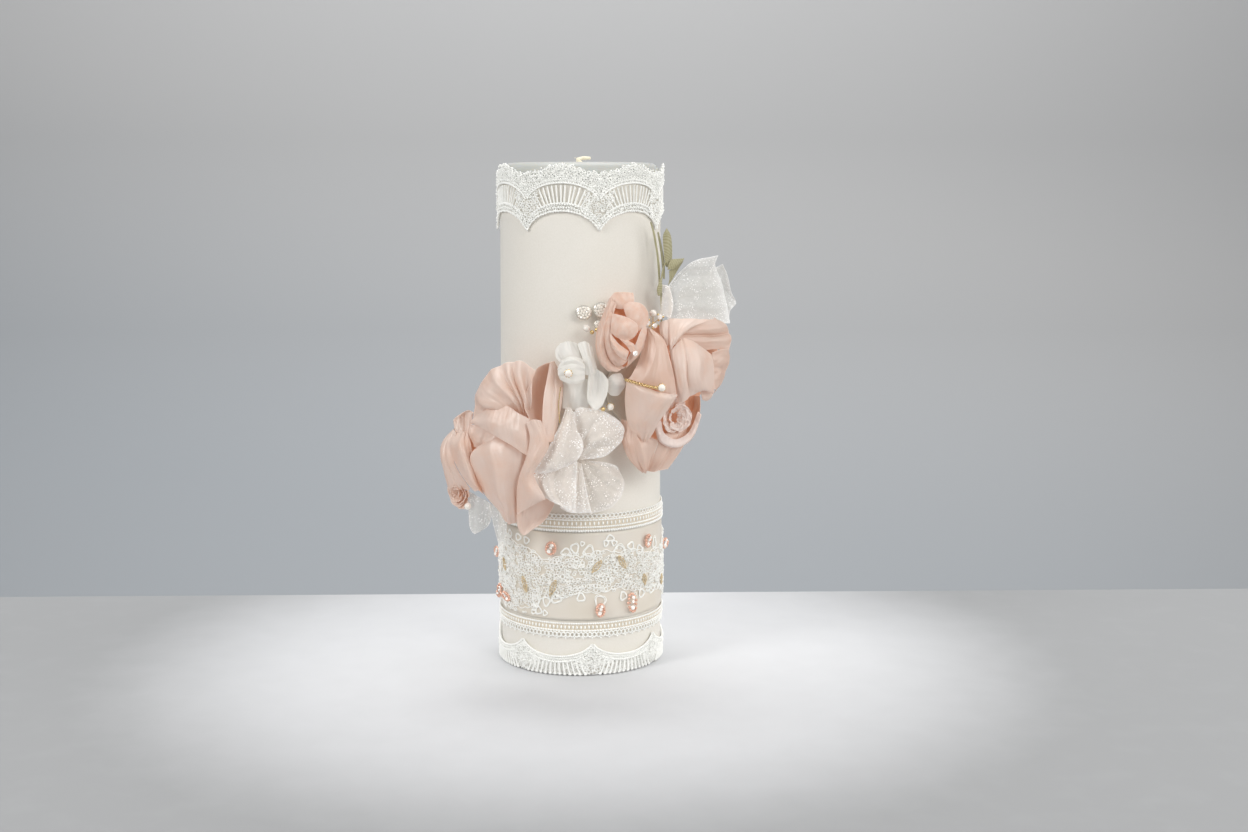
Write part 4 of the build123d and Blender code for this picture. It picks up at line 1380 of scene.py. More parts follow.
# ------------------------------------------------------------------------------ flowers and leaves
def fold_left_rose():
    # Painted shade: a darker sheet behind the left rose, so the gaps between its petals read as shade.
    petal("left_rose_underlay", [
        [(-37, -36, 127), (-30, -40, 131), (-18, -42, 129)],
        [(-43, -33.5, 112), (-32, -41, 110), (-14, -44, 108)],
        [(-50, -31, 94), (-34, -41, 92), (-16, -45, 90)],
        [(-42, -35, 80), (-34, -39, 76), (-22, -44, 74)],
    ], cloth="blush_shade", wrinkle=0.5, seed=20)
    petal("left_rose_fan", [
        [(-24, -46, 111), (-23, -50, 113), (-22, -53, 115)],
        [(-33, -48, 112), (-33, -52, 118), (-28, -54, 122), (-24, -55, 122), (-20, -54, 120)],
        [(-41, -46, 111), (-41, -48, 119), (-37, -50, 126), (-31, -52, 130), (-26, -52.5, 131),
         (-20, -52, 127)],
        [(-45.7, -40, 110.3), (-45, -40, 119.4), (-43, -41, 125), (-39.3, -43, 131),
         (-34.8, -45, 134.8), (-29, -47, 137), (-24, -48, 137), (-18.7, -49, 133.5)],
    ], pleats=[(0.12, 0.05, -1.4), (0.22, 0.06, 0.8), (0.5, 0.05, 1.0), (0.6, 0.035, -1.8),
               (0.67, 0.03, 0.8), (0.74, 0.028, -2.2), (0.83, 0.045, 1.5), (0.93, 0.03, -1.2)],
          cells=44, wrinkle=0.3)
    petal("left_rose_band", [
        [(-44.7, -43, 113.5), (-37.7, -49, 117.9), (-30.7, -53, 119.4), (-26.3, -56, 117.1),
         (-21, -57, 114.4), (-17, -54, 112)],
        [(-45.8, -44.5, 111.8), (-37.7, -51.5, 112.6), (-30, -56, 111.5), (-22.6, -59.6, 107.4),
         (-17.4, -56, 105)],
        [(-45.5, -44, 110.7), (-37.6, -51, 107.7), (-28.7, -57, 103.6), (-22.4, -59.4, 99.8),
         (-18, -56, 98)],
    ], pleats=[(0.55, 0.12, 0.4)], wrinkle=0.3, seed=2)
    petal("left_rose_loop", [
        [(-20.7, -57, 113.4), (-17, -53, 110), (-11, -51, 106), (-11.8, -57, 104.6),
         (-15.8, -60, 105.2)],
        [(-23.2, -55, 121.2), (-18, -45, 122), (-8, -45, 122.2), (-9.6, -53, 122.3),
         (-15.4, -56.5, 121.5)],
        [(-19.6, -51, 131), (-16.5, -44, 130), (-8.6, -43, 130.3), (-9.8, -50, 131),
         (-13.8, -53, 130.7)],
        [(-18.4, -48.5, 134), (-15.5, -45.5, 135.6), (-11.6, -44.5, 136.6),
         (-11.2, -46, 136.9), (-12.6, -48.5, 137)],
    ], pleats=[(0.82, 0.04, 0.7)], cells=34, wrinkle=0.2, seed=3)
    petal("left_rose_tip_petal", [
        [(-22.2, -59.5, 113), (-19.5, -60.5, 114.6), (-16.2, -59.5, 114.2)],
        [(-20.8, -60.5, 107.2), (-16.4, -61, 106), (-12.9, -59, 104)],
        [(-22.3, -59, 99.3), (-19, -61.5, 98.6), (-15.6, -58.5, 98)],
        [(-25.4, -57, 90.3), (-22.6, -59.5, 90.5), (-19.2, -56.5, 91.2)],
        [(-26.6, -55, 81.8), (-20.8, -58, 82.9), (-14.7, -56, 81.6)],
        [(-26.6, -52, 73.2), (-22.4, -55, 76.6), (-15.4, -56, 80.4)],
    ], pleats=[(0.5, 0.2, 0.5)], cells=34, wrinkle=0.3, seed=4)
    petal("left_rose_tip_lining", [
        [(-26.4, -53, 82), (-20, -50, 84), (-11.6, -52, 82.6)],
        [(-26.6, -51.5, 73.4), (-20, -48.5, 76), (-10.8, -50, 78)],
        [(-26.4, -48.6, 67.8), (-21, -47, 69.4), (-14.8, -48.4, 70.6)],
        [(-25.3, -46.6, 64.6), (-23.6, -47, 63.7), (-20.6, -46.6, 65.6)],
    ], wrinkle=0.3, seed=5, bulge=-1.0)
    petal("left_rose_lower_petal", [
        [(-30, -47, 108), (-27, -50, 108), (-22, -52, 107)],
        [(-45.3, -46, 99), (-36.3, -52, 103.5), (-25.8, -56, 100.2), (-19, -53, 99)],
        [(-44.5, -45, 89.7), (-34.3, -55, 92.9), (-26.4, -55.4, 92), (-20, -52, 91)],
        [(-40.1, -45, 80), (-33.2, -54.5, 82.8), (-27, -53, 81.8), (-21.6, -51, 82)],
        [(-34.8, -45, 73.8), (-30.8, -51.5, 74.6), (-26.4, -50.6, 75), (-22.6, -49.4, 75.6)],
        [(-32.4, -46.4, 70.4), (-30.2, -47.6, 68.4), (-26.4, -47.4, 69.4), (-24.4, -47, 70)],
    ], pleats=[(0.18, 0.05, -0.5), (0.3, 0.05, 0.4)], cells=34, wrinkle=0.45, seed=6)
    petal("left_rose_shadow_petal", [
        [(-46.5, -42, 110), (-38, -48, 109), (-30, -52, 105), (-24, -54, 100)],
        [(-46.8, -42, 105.4), (-41, -47, 104), (-34, -50.4, 101.6), (-26, -53, 97)],
        [(-45.4, -42, 100.4), (-41, -46, 99), (-35, -49, 97), (-28, -52, 94)],
    ], pleats=[(0.3, 0.08, -0.8), (0.5, 0.06, 0.7)], wrinkle=0.6, seed=7)
    petal("left_rose_rolled_petal", [
        [(-51, -36, 106.6), (-49.4, -39, 106.4), (-47, -40, 105.6)],
        [(-55.2, -37, 101.4), (-50.4, -43.6, 101.4), (-46, -42, 101)],
        [(-53.6, -38.6, 94), (-48.2, -46.4, 94.8), (-44.6, -42, 93.4)],
        [(-49.4, -41.4, 87), (-45.6, -47.4, 88), (-43.2, -43, 87)],
        [(-44.4, -43.6, 81.8), (-42.4, -47.4, 82.6), (-40.5, -44, 80.4)],
    ], seed=8)
    petal("left_rose_outer_petal", [
        [(-53.6, -30, 106.6), (-54, -34, 106.4), (-52.6, -37, 105.6)],
        [(-58.8, -29, 101.4), (-58, -34, 101), (-54.4, -37.4, 100.4)],
        [(-60.2, -28.6, 96), (-58.2, -36, 94.6), (-53.4, -38.6, 93)],
        [(-59, -28.6, 88), (-56, -36, 88), (-50, -39, 86.8)],
        [(-56.6, -29.4, 79.2), (-53, -34.6, 80.6), (-46.4, -38.6, 81.6)],
    ], wrinkle=0.35, seed=9, pleats=[(0.3, 0.08, 0.6), (0.6, 0.07, -0.7)])
    petal("left_rose_frill", [
        [(-46, -38, 104.6), (-49.6, -37.6, 103.4), (-52.6, -35, 102.4)],
        [(-46, -34.4, 111.4), (-50.4, -33, 110.4), (-54, -33, 108.6)],
        [(-45.4, -33.6, 113.8), (-48.2, -33, 114.6), (-52.4, -32.6, 112.2), (-54.2, -32.6, 110.6)],
    ], wrinkle=0.5, seed=10, pleats=[(0.4, 0.08, -0.7), (0.65, 0.08, 0.6)])


class CANDLE_OT_left_rose(Operator):
    """Fold the large ribbon rose at the left of the spray"""
    bl_idname = "candle.left_rose"
    bl_label = "Left rose"

    def execute(self, context):
        fold_left_rose()
        return {"FINISHED"}


def curl_blossom():
    white = "white_satin"
    petal("blossom_cup_petal", [
        [(-7.6, -49, 136), (-4, -48, 135.4), (0.4, -48, 136.4)],
        [(-10.2, -47, 138.4), (-4.4, -50, 139), (0.6, -46.4, 139.4)],
        [(-10.4, -46, 142), (-4.8, -48.4, 142.6), (0, -45, 142)],
        [(-8.4, -46.4, 144.4), (-5.2, -46.6, 145.4), (-1.6, -45, 144.4)],
    ], cloth=white, wrinkle=0.45, bulge=0.5, thickness=0.3)
    petal("blossom_lip_petal", [
        [(-8, -51, 138), (-9.6, -53, 134), (-8.4, -53, 130)],
        [(-5.4, -52.6, 139.4), (-6, -55.4, 135.6), (-5.6, -54.4, 128.8)],
        [(-2, -52.4, 139.4), (-2.4, -55.4, 135.8), (-2.4, -54, 128.4)],
        [(1, -51, 138), (2, -52.6, 134), (1.6, -52, 129.8)],
    ], cloth=white, wrinkle=0.45, seed=2, cells=32, thickness=0.3,
        pleats=[(0.14, 0.05, -0.7), (0.26, 0.05, 0.7), (0.38, 0.05, -0.6), (0.9, 0.08, 0.7)])
    petal("blossom_upright_petal", [
        [(2, -50.4, 131.6), (4.4, -50, 131.4), (7.1, -47, 132.4)],
        [(1.7, -50, 135.4), (4, -49.6, 136), (6.6, -46.6, 135.6)],
        [(0.4, -48, 139.4), (3, -48.6, 140), (5.6, -46, 139.4)],
        [(-1.4, -45.4, 144), (1.9, -46, 145.3), (4.9, -45, 143)],
    ], cloth=white, wrinkle=0.4, bulge=0.3, seed=3, thickness=0.3)
    petal("blossom_right_petal", [
        [(3.7, -48, 134.4), (6, -48, 134.2), (9.3, -47, 132.2)],
        [(3, -50.4, 128), (6.6, -47.6, 129.4), (11.5, -48, 128.9)],
        [(2.8, -50.8, 121.6), (6.8, -49, 123.6), (11, -49.6, 123.4)],
        [(4, -50.2, 117.8), (6.6, -51.6, 117), (9.3, -50.4, 119)],
    ], cloth=white, wrinkle=0.4, bulge=-0.8, seed=4, thickness=0.3)
    petal("blossom_back_petals", [
        [(9.8, -44, 127), (10.4, -44, 125.6)],
        [(12.8, -44.4, 130.8), (14, -45.4, 126.8), (12.4, -44.4, 122.4)],
        [(16.4, -43, 131.5), (18, -43.6, 126.6), (15.4, -43, 122)],
        [(17.6, -42, 130.4), (18.8, -42.4, 126.6), (17.2, -42, 123.4)],
    ], cloth=white, wrinkle=0.2, seed=5)
    petal("blossom_lower_petal", [
        [(-7, -46, 128.6), (-2, -47.4, 129), (3.1, -46, 129.4)],
        [(-7.4, -46, 123), (-2, -47.8, 123), (3.3, -46, 123)],
        [(-7.7, -45.6, 117), (-2, -46.4, 116.4), (3.4, -45.6, 116.1)],
    ], cloth=white, wrinkle=0.2, seed=6)


class CANDLE_OT_blossom(Operator):
    """Curl the white satin blossom's petals"""
    bl_idname = "candle.blossom"
    bl_label = "White blossom"

    def execute(self, context):
        curl_blossom()
        return {"FINISHED"}


def curl_organza_flower():
    petal("organza_curled_petal", [
        [(-6.1, -49.4, 118), (-4, -50.4, 118), (-2.4, -49.4, 116)],
        [(-8.2, -53, 112), (-5, -55, 112), (-1.6, -53, 110)],
        [(-11.4, -55, 106), (-6, -57.4, 105.6), (0.8, -53.6, 105)],
        [(-14.6, -56, 100), (-8, -58.6, 99), (0.9, -54, 100.6)],
        [(-18, -56, 94.6), (-11, -58.6, 94.4), (-1.4, -54.4, 96.4)],
        [(-20.4, -54.4, 91.2), (-14, -56, 91.4), (-7, -54, 93.2), (-1.8, -52, 95.6)],
    ], cloth="glitter_organza", cells=34, wrinkle=0.4, pleats=[(0.7, 0.1, -0.6)])
    petal("organza_upper_petal", [
        [(-3, -48.6, 96.6), (-1.6, -48, 95.8), (0.6, -48.6, 96)],
        [(-2.6, -48.6, 106), (3.4, -50.6, 104.6), (6.4, -49, 96.4)],
        [(-2.5, -48, 116.5), (6, -49.6, 112), (12.6, -48.6, 104), (10.8, -47.6, 97.6)],
        [(3.1, -47, 117.4), (10.6, -47, 115.6), (17.4, -45.6, 110.4), (18.4, -45, 106.1),
         (16.8, -45.4, 102.2)],
    ], cloth="glitter_organza", cells=34, wrinkle=0.5, seed=2,
        pleats=[(0.35, 0.06, -0.9), (0.6, 0.07, 0.9), (0.8, 0.06, -0.8)])
    petal("organza_lower_left_petal", [
        [(-18.4, -52.6, 91.4), (-10, -52.4, 94), (-1.6, -50, 95.6)],
        [(-20.7, -53.2, 88.6), (-12, -53.6, 88.6), (-1.7, -51, 88.4)],
        [(-18.4, -53.4, 83.6), (-10.6, -54.6, 82.6), (-1.9, -51.6, 82)],
        [(-14.2, -53, 80.6), (-9, -54, 78), (-5.6, -52.6, 75.4), (-2.4, -52, 76.2)],
    ], cloth="glitter_organza", cells=34, wrinkle=0.5, seed=3,
        pleats=[(0.3, 0.08, 0.8), (0.55, 0.05, -1.0), (0.75, 0.06, 0.9)])
    petal("organza_bottom_petal", [
        [(-3, -47, 95), (-1.3, -47, 94.6), (0.4, -47, 94)],
        [(-6, -47, 84), (-2, -48.4, 84), (2.4, -46.6, 83)],
        [(-9, -46.4, 75), (-3.2, -47.4, 73), (4.6, -46, 72.8)],
    ], cloth="glitter_organza", wrinkle=0.4, seed=4, pleats=[(0.3, 0.07, 0.8), (0.6, 0.07, -0.8)])
    petal("organza_sheer_petal", [
        [(-1.6, -46, 95), (0, -46, 95.4), (1.6, -46, 95)],
        [(0.4, -45.6, 84), (6.4, -46.6, 87), (9.6, -45, 94.2)],
        [(-0.6, -45, 74.4), (9, -44.8, 77.6), (14.8, -43.4, 84), (14.6, -43, 92.4)],
        [(4.4, -44, 72), (12.5, -42, 74.3), (17.4, -41, 79.4), (18.4, -41, 84.6), (16.4, -42, 90)],
    ], cloth="sheer_organza", cells=32, wrinkle=0.6, seed=5,
        pleats=[(0.3, 0.07, 0.8), (0.55, 0.07, -0.7), (0.8, 0.07, 0.8)])


class CANDLE_OT_organza_flower(Operator):
    """Curl the glittered organza flower's petals"""
    bl_idname = "candle.organza_flower"
    bl_label = "Organza flower"

    def execute(self, context):
        curl_organza_flower()
        return {"FINISHED"}


def close_rosebud():
    bud = "blush_chiffon"
    petal("bud_left_petals", [
        [(12.4, -43, 163.4), (13.2, -46, 162.4), (15, -47.6, 161)],
        [(9.8, -43.6, 157.4), (11.4, -47.6, 157), (13.6, -48.6, 156.6)],
        [(6.9, -44, 149.6), (9, -49, 149), (11.8, -49.6, 150)],
        [(6.3, -44, 142), (8.6, -50, 141.4), (11.8, -50.6, 143)],
        [(8, -45.4, 135.8), (11.4, -49.6, 135), (14.6, -50, 137)],
        [(11.4, -47, 132.6), (15, -48.6, 132.6), (18.6, -49, 134.4)],
    ], cloth=bud, cells=34, pleats=[(0.3, 0.05, -0.8), (0.55, 0.07, 0.9), (0.8, 0.05, -1.4)])
    # Painted shade: a deep-coloured sheet inside the rosebud, where its heart lies in shadow.
    petal("bud_heart", [
        [(13.6, -42, 160), (18, -43, 161), (23, -41.6, 160)],
        [(9.4, -43, 150), (18, -45.6, 150), (26, -42.6, 150)],
        [(10.4, -44, 139), (18, -47, 138), (25.4, -45, 142)],
        [(13, -46, 135), (18, -47, 134.4), (22, -46.6, 137)],
    ], cloth="blush_deep", wrinkle=0.4, seed=21)
    petal("bud_wrap_petal", [
        [(11.4, -46, 160), (13, -48.6, 157.6), (14.4, -50, 154.6)],
        [(9.6, -47.6, 153), (11.4, -50.6, 152), (13.2, -50.6, 150.4)],
        [(9.4, -48, 145), (11.4, -52.4, 145.4), (13.6, -51, 146)],
        [(11.2, -48.6, 138.6), (14, -52.4, 139), (17, -51, 140.6)],
        [(15.4, -49, 135), (18, -51, 136), (20, -50.4, 138)],
    ], cloth=bud, wrinkle=0.2, seed=2)
    petal("bud_upper_petals", [
        [(11.4, -44, 160.6), (16, -46, 158.6), (22, -45, 159.4)],
        [(12.6, -43, 163.6), (17, -44.4, 162.6), (22.6, -43.4, 162.6)],
        [(14.3, -42.4, 165.4), (18, -42.6, 165.6), (22.1, -42, 165.2)],
    ], cloth=bud, wrinkle=0.2, seed=3)
    petal("bud_right_petal", [
        [(18.6, -48, 156.6), (20.4, -50, 153), (22, -50, 149)],
        [(18, -46.6, 160), (23, -48.6, 156.8), (26.4, -47, 150.6)],
        [(20.6, -45, 161.9), (25.4, -45.6, 160.8), (28.2, -44, 157.6), (28.6, -43.4, 153)],
    ], cloth=bud, wrinkle=0.2, seed=4, bulge=0.6)
    petal("bud_face_petal", [
        [(12.4, -51.6, 149.4), (14.6, -53, 147.6), (18.8, -54, 145.6)],
        [(12.6, -51.6, 153), (18, -54.6, 151), (22, -53, 147.4)],
        [(13.6, -51, 157.2), (19, -52.8, 155.8), (23.2, -52, 153), (23.8, -52.6, 149.8)],
    ], cloth=bud, wrinkle=0.2, seed=5, bulge=0.8)
    petal("bud_lip_petals", [
        [(12.3, -53, 149.4), (15.4, -54.4, 145.4), (20, -55, 141.8)],
        [(12.2, -55, 147), (15, -56.6, 143), (19.4, -56, 140)],
        [(12.8, -54.4, 144), (15.4, -55.6, 140.2), (18.6, -55, 138.2)],
    ], [
        [(16, -54, 147), (19, -55, 144), (20.6, -55, 141.4)],
        [(17.6, -54.6, 146.6), (20.6, -55.6, 144.4), (21.6, -55, 142)],
        [(19.4, -54, 146.4), (22.2, -54.4, 144.6), (22.4, -54, 142)],
    ], cloth=bud, wrinkle=0.15, seed=6)
    petal("bud_base_petal", [
        [(18.8, -50.4, 134.6), (19.4, -51.4, 136), (19.6, -51.6, 139)],
        [(21, -50.6, 136.6), (22.4, -53, 140), (22.4, -53.6, 144)],
        [(24, -49.6, 139.4), (25.6, -50.4, 144), (25.2, -49.6, 150)],
        [(26.2, -47.4, 143), (27.6, -46.4, 148), (27.4, -45, 152)],
    ], cloth=bud, wrinkle=0.2, seed=8)


class CANDLE_OT_rosebud(Operator):
    """Close the blush chiffon rosebud"""
    bl_idname = "candle.rosebud"
    bl_label = "Rosebud"

    def execute(self, context):
        close_rosebud()
        return {"FINISHED"}


def fold_right_rose():
    # Painted shade: a darker sheet behind the right rose, so the gaps between its petals read as shade.
    petal("right_rose_underlay", [
        [(31, -36, 151), (44, -31, 151), (56, -20, 149)],
        [(27, -41, 136), (45, -33, 136), (60, -17, 138)],
        [(23, -42, 120), (41, -35, 118), (54, -24, 124)],
        [(24, -41, 104), (36, -37, 102), (45, -29, 106)],
    ], cloth="blush_shade", wrinkle=0.5, seed=22)
    # Painted shadow: this petal is cut from a darker copy of the satin, as if in the rosebud's shadow.
    petal("right_rose_left_petal", [
        [(27.6, -44, 150.4), (28.4, -44.6, 150.6), (29.6, -44.6, 150.4)],
        [(26.2, -47, 144), (31, -49.6, 145.6), (34.8, -48.4, 146)],
        [(24.4, -49, 138), (31, -52.6, 138), (37, -51.6, 138.4)],
        [(21.4, -50, 132), (30, -54.4, 131.6), (38.8, -52.6, 131)],
        [(19, -49.6, 129.2), (24, -52.6, 127.6), (30, -54.4, 126.2), (35.5, -54.4, 123.8),
         (39.7, -53.4, 124)],
    ], cloth="blush_warm", cells=34)
    petal("right_rose_lower_petal", [
        [(18.9, -49.4, 129.4), (24, -53.4, 127.8), (30, -55.4, 126), (35.4, -55.4, 124.4),
         (40, -53.4, 124)],
        [(18.6, -49.4, 127.4), (24, -55, 125.4), (30, -57, 123.6), (36, -56.4, 121.8),
         (39.6, -54, 122.6)],
        [(18.4, -47, 120), (25, -54.4, 118.4), (31, -56.4, 117.4), (35.9, -54.4, 117.4)],
        [(19.2, -46, 113), (24, -52.4, 112), (29, -54, 112), (32.4, -53, 112.2)],
        [(21.3, -45.6, 107.6), (24.6, -49.6, 107), (27.6, -51, 107), (29.7, -51, 106.6)],
        [(25.2, -46.4, 103.2), (26.2, -47.2, 102.9), (27.2, -48.4, 103.1)],
    ], cells=36, wrinkle=0.3, seed=2)
    # Painted shade: this petal is cut from the dimmer copy of the satin.
    petal("right_rose_bottom_petal", [
        [(17, -42, 112), (22, -46, 111), (27, -47, 110)],
        [(16.6, -43, 106), (22, -46.6, 105.4), (29.4, -47, 105)],
        [(17.1, -44, 102.6), (23, -47.6, 101), (32.4, -46, 103)],
        [(19.4, -44, 96.4), (24.6, -47, 95), (31, -45.4, 98.4)],
        [(22.8, -44, 92.3), (26, -45.8, 91), (29.4, -44.8, 93.6)],
        [(25.7, -43.6, 89.6), (26.8, -43.8, 89.3), (27.8, -43.6, 89.8)],
    ], cloth="blush_dim", cells=34, wrinkle=0.35, seed=3,
        pleats=[(0.62, 0.05, 1.6), (0.45, 0.07, -0.7)])
    # Painted shade: this petal is cut from the dimmer copy of the satin.
    petal("right_rose_side_petal", [
        [(32, -45, 104), (38, -41, 107), (46, -34, 110)],
        [(32.4, -45.4, 101.6), (38.6, -42.4, 102), (44.6, -36, 103)],
        [(30, -44.8, 95.6), (36, -42.6, 95.6), (41.6, -37, 96)],
        [(27.8, -43.4, 89.8), (32, -42.6, 89.6), (37, -39, 90)],
    ], cloth="blush_dim", wrinkle=0.35, seed=4, pleats=[(0.35, 0.08, 0.8), (0.6, 0.08, -0.8)])
    petal("right_rose_outer_side", [
        [(51, -33, 120), (50.6, -30, 120), (48, -27, 120)],
        [(50.8, -33, 113), (50, -29, 113), (47, -26, 113)],
        [(47.6, -34, 106), (47, -31, 106), (44, -28, 106)],
        [(42, -37, 97), (43, -33, 97.6), (41, -29, 99)],
        [(36.4, -39, 90), (38, -36, 91), (37, -32, 93)],
    ], wrinkle=0.3, seed=5)
    petal("right_rose_centre_petal", [
        [(37.2, -48, 141.2), (41.2, -47.4, 145.4), (43.4, -47, 146.6), (49, -44.4, 143.8),
         (55.2, -40, 139)],
        [(37.6, -50, 137), (43, -52.4, 139.4), (49, -49.4, 138), (56.2, -40.4, 134)],
        [(38.8, -51, 131), (43.6, -54, 132), (49, -50, 131), (56.4, -40.4, 129)],
        [(39.6, -51.4, 125), (44.4, -53, 126.4), (50, -48, 126), (56.4, -40, 123)],
        [(40.8, -50.4, 119.6), (43.6, -50.4, 120.6), (47, -47.6, 122.6), (50.4, -44.4, 124.4),
         (56, -39, 122)],
    ], cells=40, seed=6, pleats=[(0.4, 0.07, -1.5), (0.2, 0.1, 0.6), (0.66, 0.1, 1.0)])
    petal("right_rose_corner_fold", [
        [(50, -41.6, 124.4), (53, -39.4, 123.4), (56.4, -36.8, 122.4)],
        [(51, -40.4, 121.4), (53.6, -38.4, 120.6), (55.8, -36.4, 120.6)],
        [(51.4, -38.6, 119.4), (53.4, -37, 118.8), (55, -35.4, 119.4)],
    ], wrinkle=0.1, seed=7, cells=14)
    petal("right_rose_flap", [
        [(37.2, -38, 153.9), (43, -39, 154.1), (49, -37.6, 153.8), (55.4, -33.6, 153.2)],
        [(37.2, -42, 151), (41, -44, 151.2), (45, -43.4, 151.4), (50.8, -39.4, 152)],
        [(37, -46, 146), (39.4, -47.4, 147), (41.6, -47, 148), (44.6, -44.6, 149.4)],
        [(37.2, -48, 140.8), (38, -48.6, 142.4), (38.9, -48.2, 144)],
    ], wrinkle=0.2, seed=8, bulge=0.5)
    petal("right_rose_flap_edge", [
        [(33.4, -38, 152.4), (35, -39.4, 153.2), (38.6, -37.4, 154)],
        [(33.2, -41, 149), (35, -43, 149.4), (38.8, -41, 150.6)],
        [(34.6, -44.6, 142.6), (36, -46.4, 143), (38.6, -45.4, 145)],
    ], wrinkle=0.2, seed=9)
    # Painted shade: the inner fold is cut from the dimmer copy, so it reads as set back behind the flap.
    petal("right_rose_inner_fold", [
        [(39.6, -39, 143), (40.6, -38.6, 146.8), (41.4, -37.6, 150.6)],
        [(49, -35, 140), (50, -34.4, 146.6), (50.4, -33, 152.4)],
        [(57.6, -30, 140), (58.6, -28, 146), (57.4, -27, 153)],
        [(64.2, -23, 138.6), (65.2, -21.6, 142.6), (64.8, -21, 146.4), (62.2, -22, 150.4),
         (57, -26, 153.4)],
    ], cloth="blush_dim", cells=34, seed=10,
        pleats=[(0.3, 0.12, 0.6), (0.5, 0.05, -1.6), (0.7, 0.12, 0.7)])
    # Painted shade: the frill is cut from the dimmer copy, so it reads as set back.
    petal("right_rose_frill", [
        [(56, -33, 139), (56, -33, 132), (56, -32, 123)],
        [(60.6, -29.4, 140), (60.4, -29.4, 132), (58.4, -29.6, 122.6)],
        [(64.4, -23, 139.6), (64.2, -22.4, 133), (61.6, -24, 126), (57.4, -27, 121)],
    ], cloth="blush_dim", wrinkle=0.3, seed=11, pleats=[(0.5, 0.06, -1.0)])


class CANDLE_OT_right_rose(Operator):
    """Fold the large ribbon rose at the right of the spray"""
    bl_idname = "candle.right_rose"
    bl_label = "Right rose"

    def execute(self, context):
        fold_right_rose()
        return {"FINISHED"}


def rosette_shapes(centre, facing, radius, count, depth=0.5, seed=1):
    """The petals of a small rose: each a cupped scallop, turned a golden angle from the last."""
    base = facing_matrix(Vector(centre), facing)
    random.seed(seed)
    shapes = []
    for k in range(count):
        share = (k + 0.6) / count
        reach = radius * (0.22 + 0.78 * share ** 0.8)
        turn = math.radians(GOLDEN_ANGLE) * k + random.uniform(-0.3, 0.3)
        spread = 1.5 - 0.5 * share
        rim = radius * depth * (1.25 - 1.1 * share)

        def at(reach_share, angle_share, lift):
            angle = turn + angle_share * spread
            return base @ Vector((math.cos(angle) * reach * reach_share,
                                  math.sin(angle) * reach * reach_share, lift))

        curl = random.uniform(0.88, 1.0)
        shapes.append([
            [at(0.4, -0.8, -0.8), at(0.45, 0, -0.9), at(0.4, 0.8, -0.8)],
            [at(0.78, -0.95, rim * 0.45), at(0.86, 0, rim * 0.4), at(0.78, 0.95, rim * 0.45)],
            [at(0.84, -0.75, rim * 0.9), at(0.98 * curl, -0.3, rim * 1.1),
             at(1.0, 0.3, rim * 0.95), at(0.86, 0.75, rim * 0.95)],
        ])
    return shapes


class CANDLE_OT_small_roses(Operator):
    """Wind the two small ruched roses"""
    bl_idname = "candle.small_roses"
    bl_label = "Small roses"

    def execute(self, context):
        petal("small_ruched_rose", *rosette_shapes((-51.6, -33.4, 79.4), -40, 7.6, 11, 0.35, 2),
              cells=14, wrinkle=0.7)
        petal("inner_small_rose", *rosette_shapes((40.2, -41.8, 112.6), 34, 9.6, 7, 0.16, 5),
              cloth="blush_pale", cells=16, wrinkle=0.9)
        petal("wound_right_cup", [
            [(33.6, -46.4, 112), (35, -46.6, 106.6), (40, -44, 103.6), (46, -38, 106), (50, -34, 114)],
            [(31, -47.4, 110.4), (33.6, -47.4, 103.6), (40, -45, 100.6), (47, -39, 103.4),
             (51.4, -34.4, 112.6)],
            [(30.4, -45.4, 109.6), (33.4, -45.4, 102.4), (40.4, -42.4, 99.6), (47.6, -36, 102.6),
             (51.4, -32, 112)],
        ], cloth="blush_pale", seed=12)
        return {"FINISHED"}


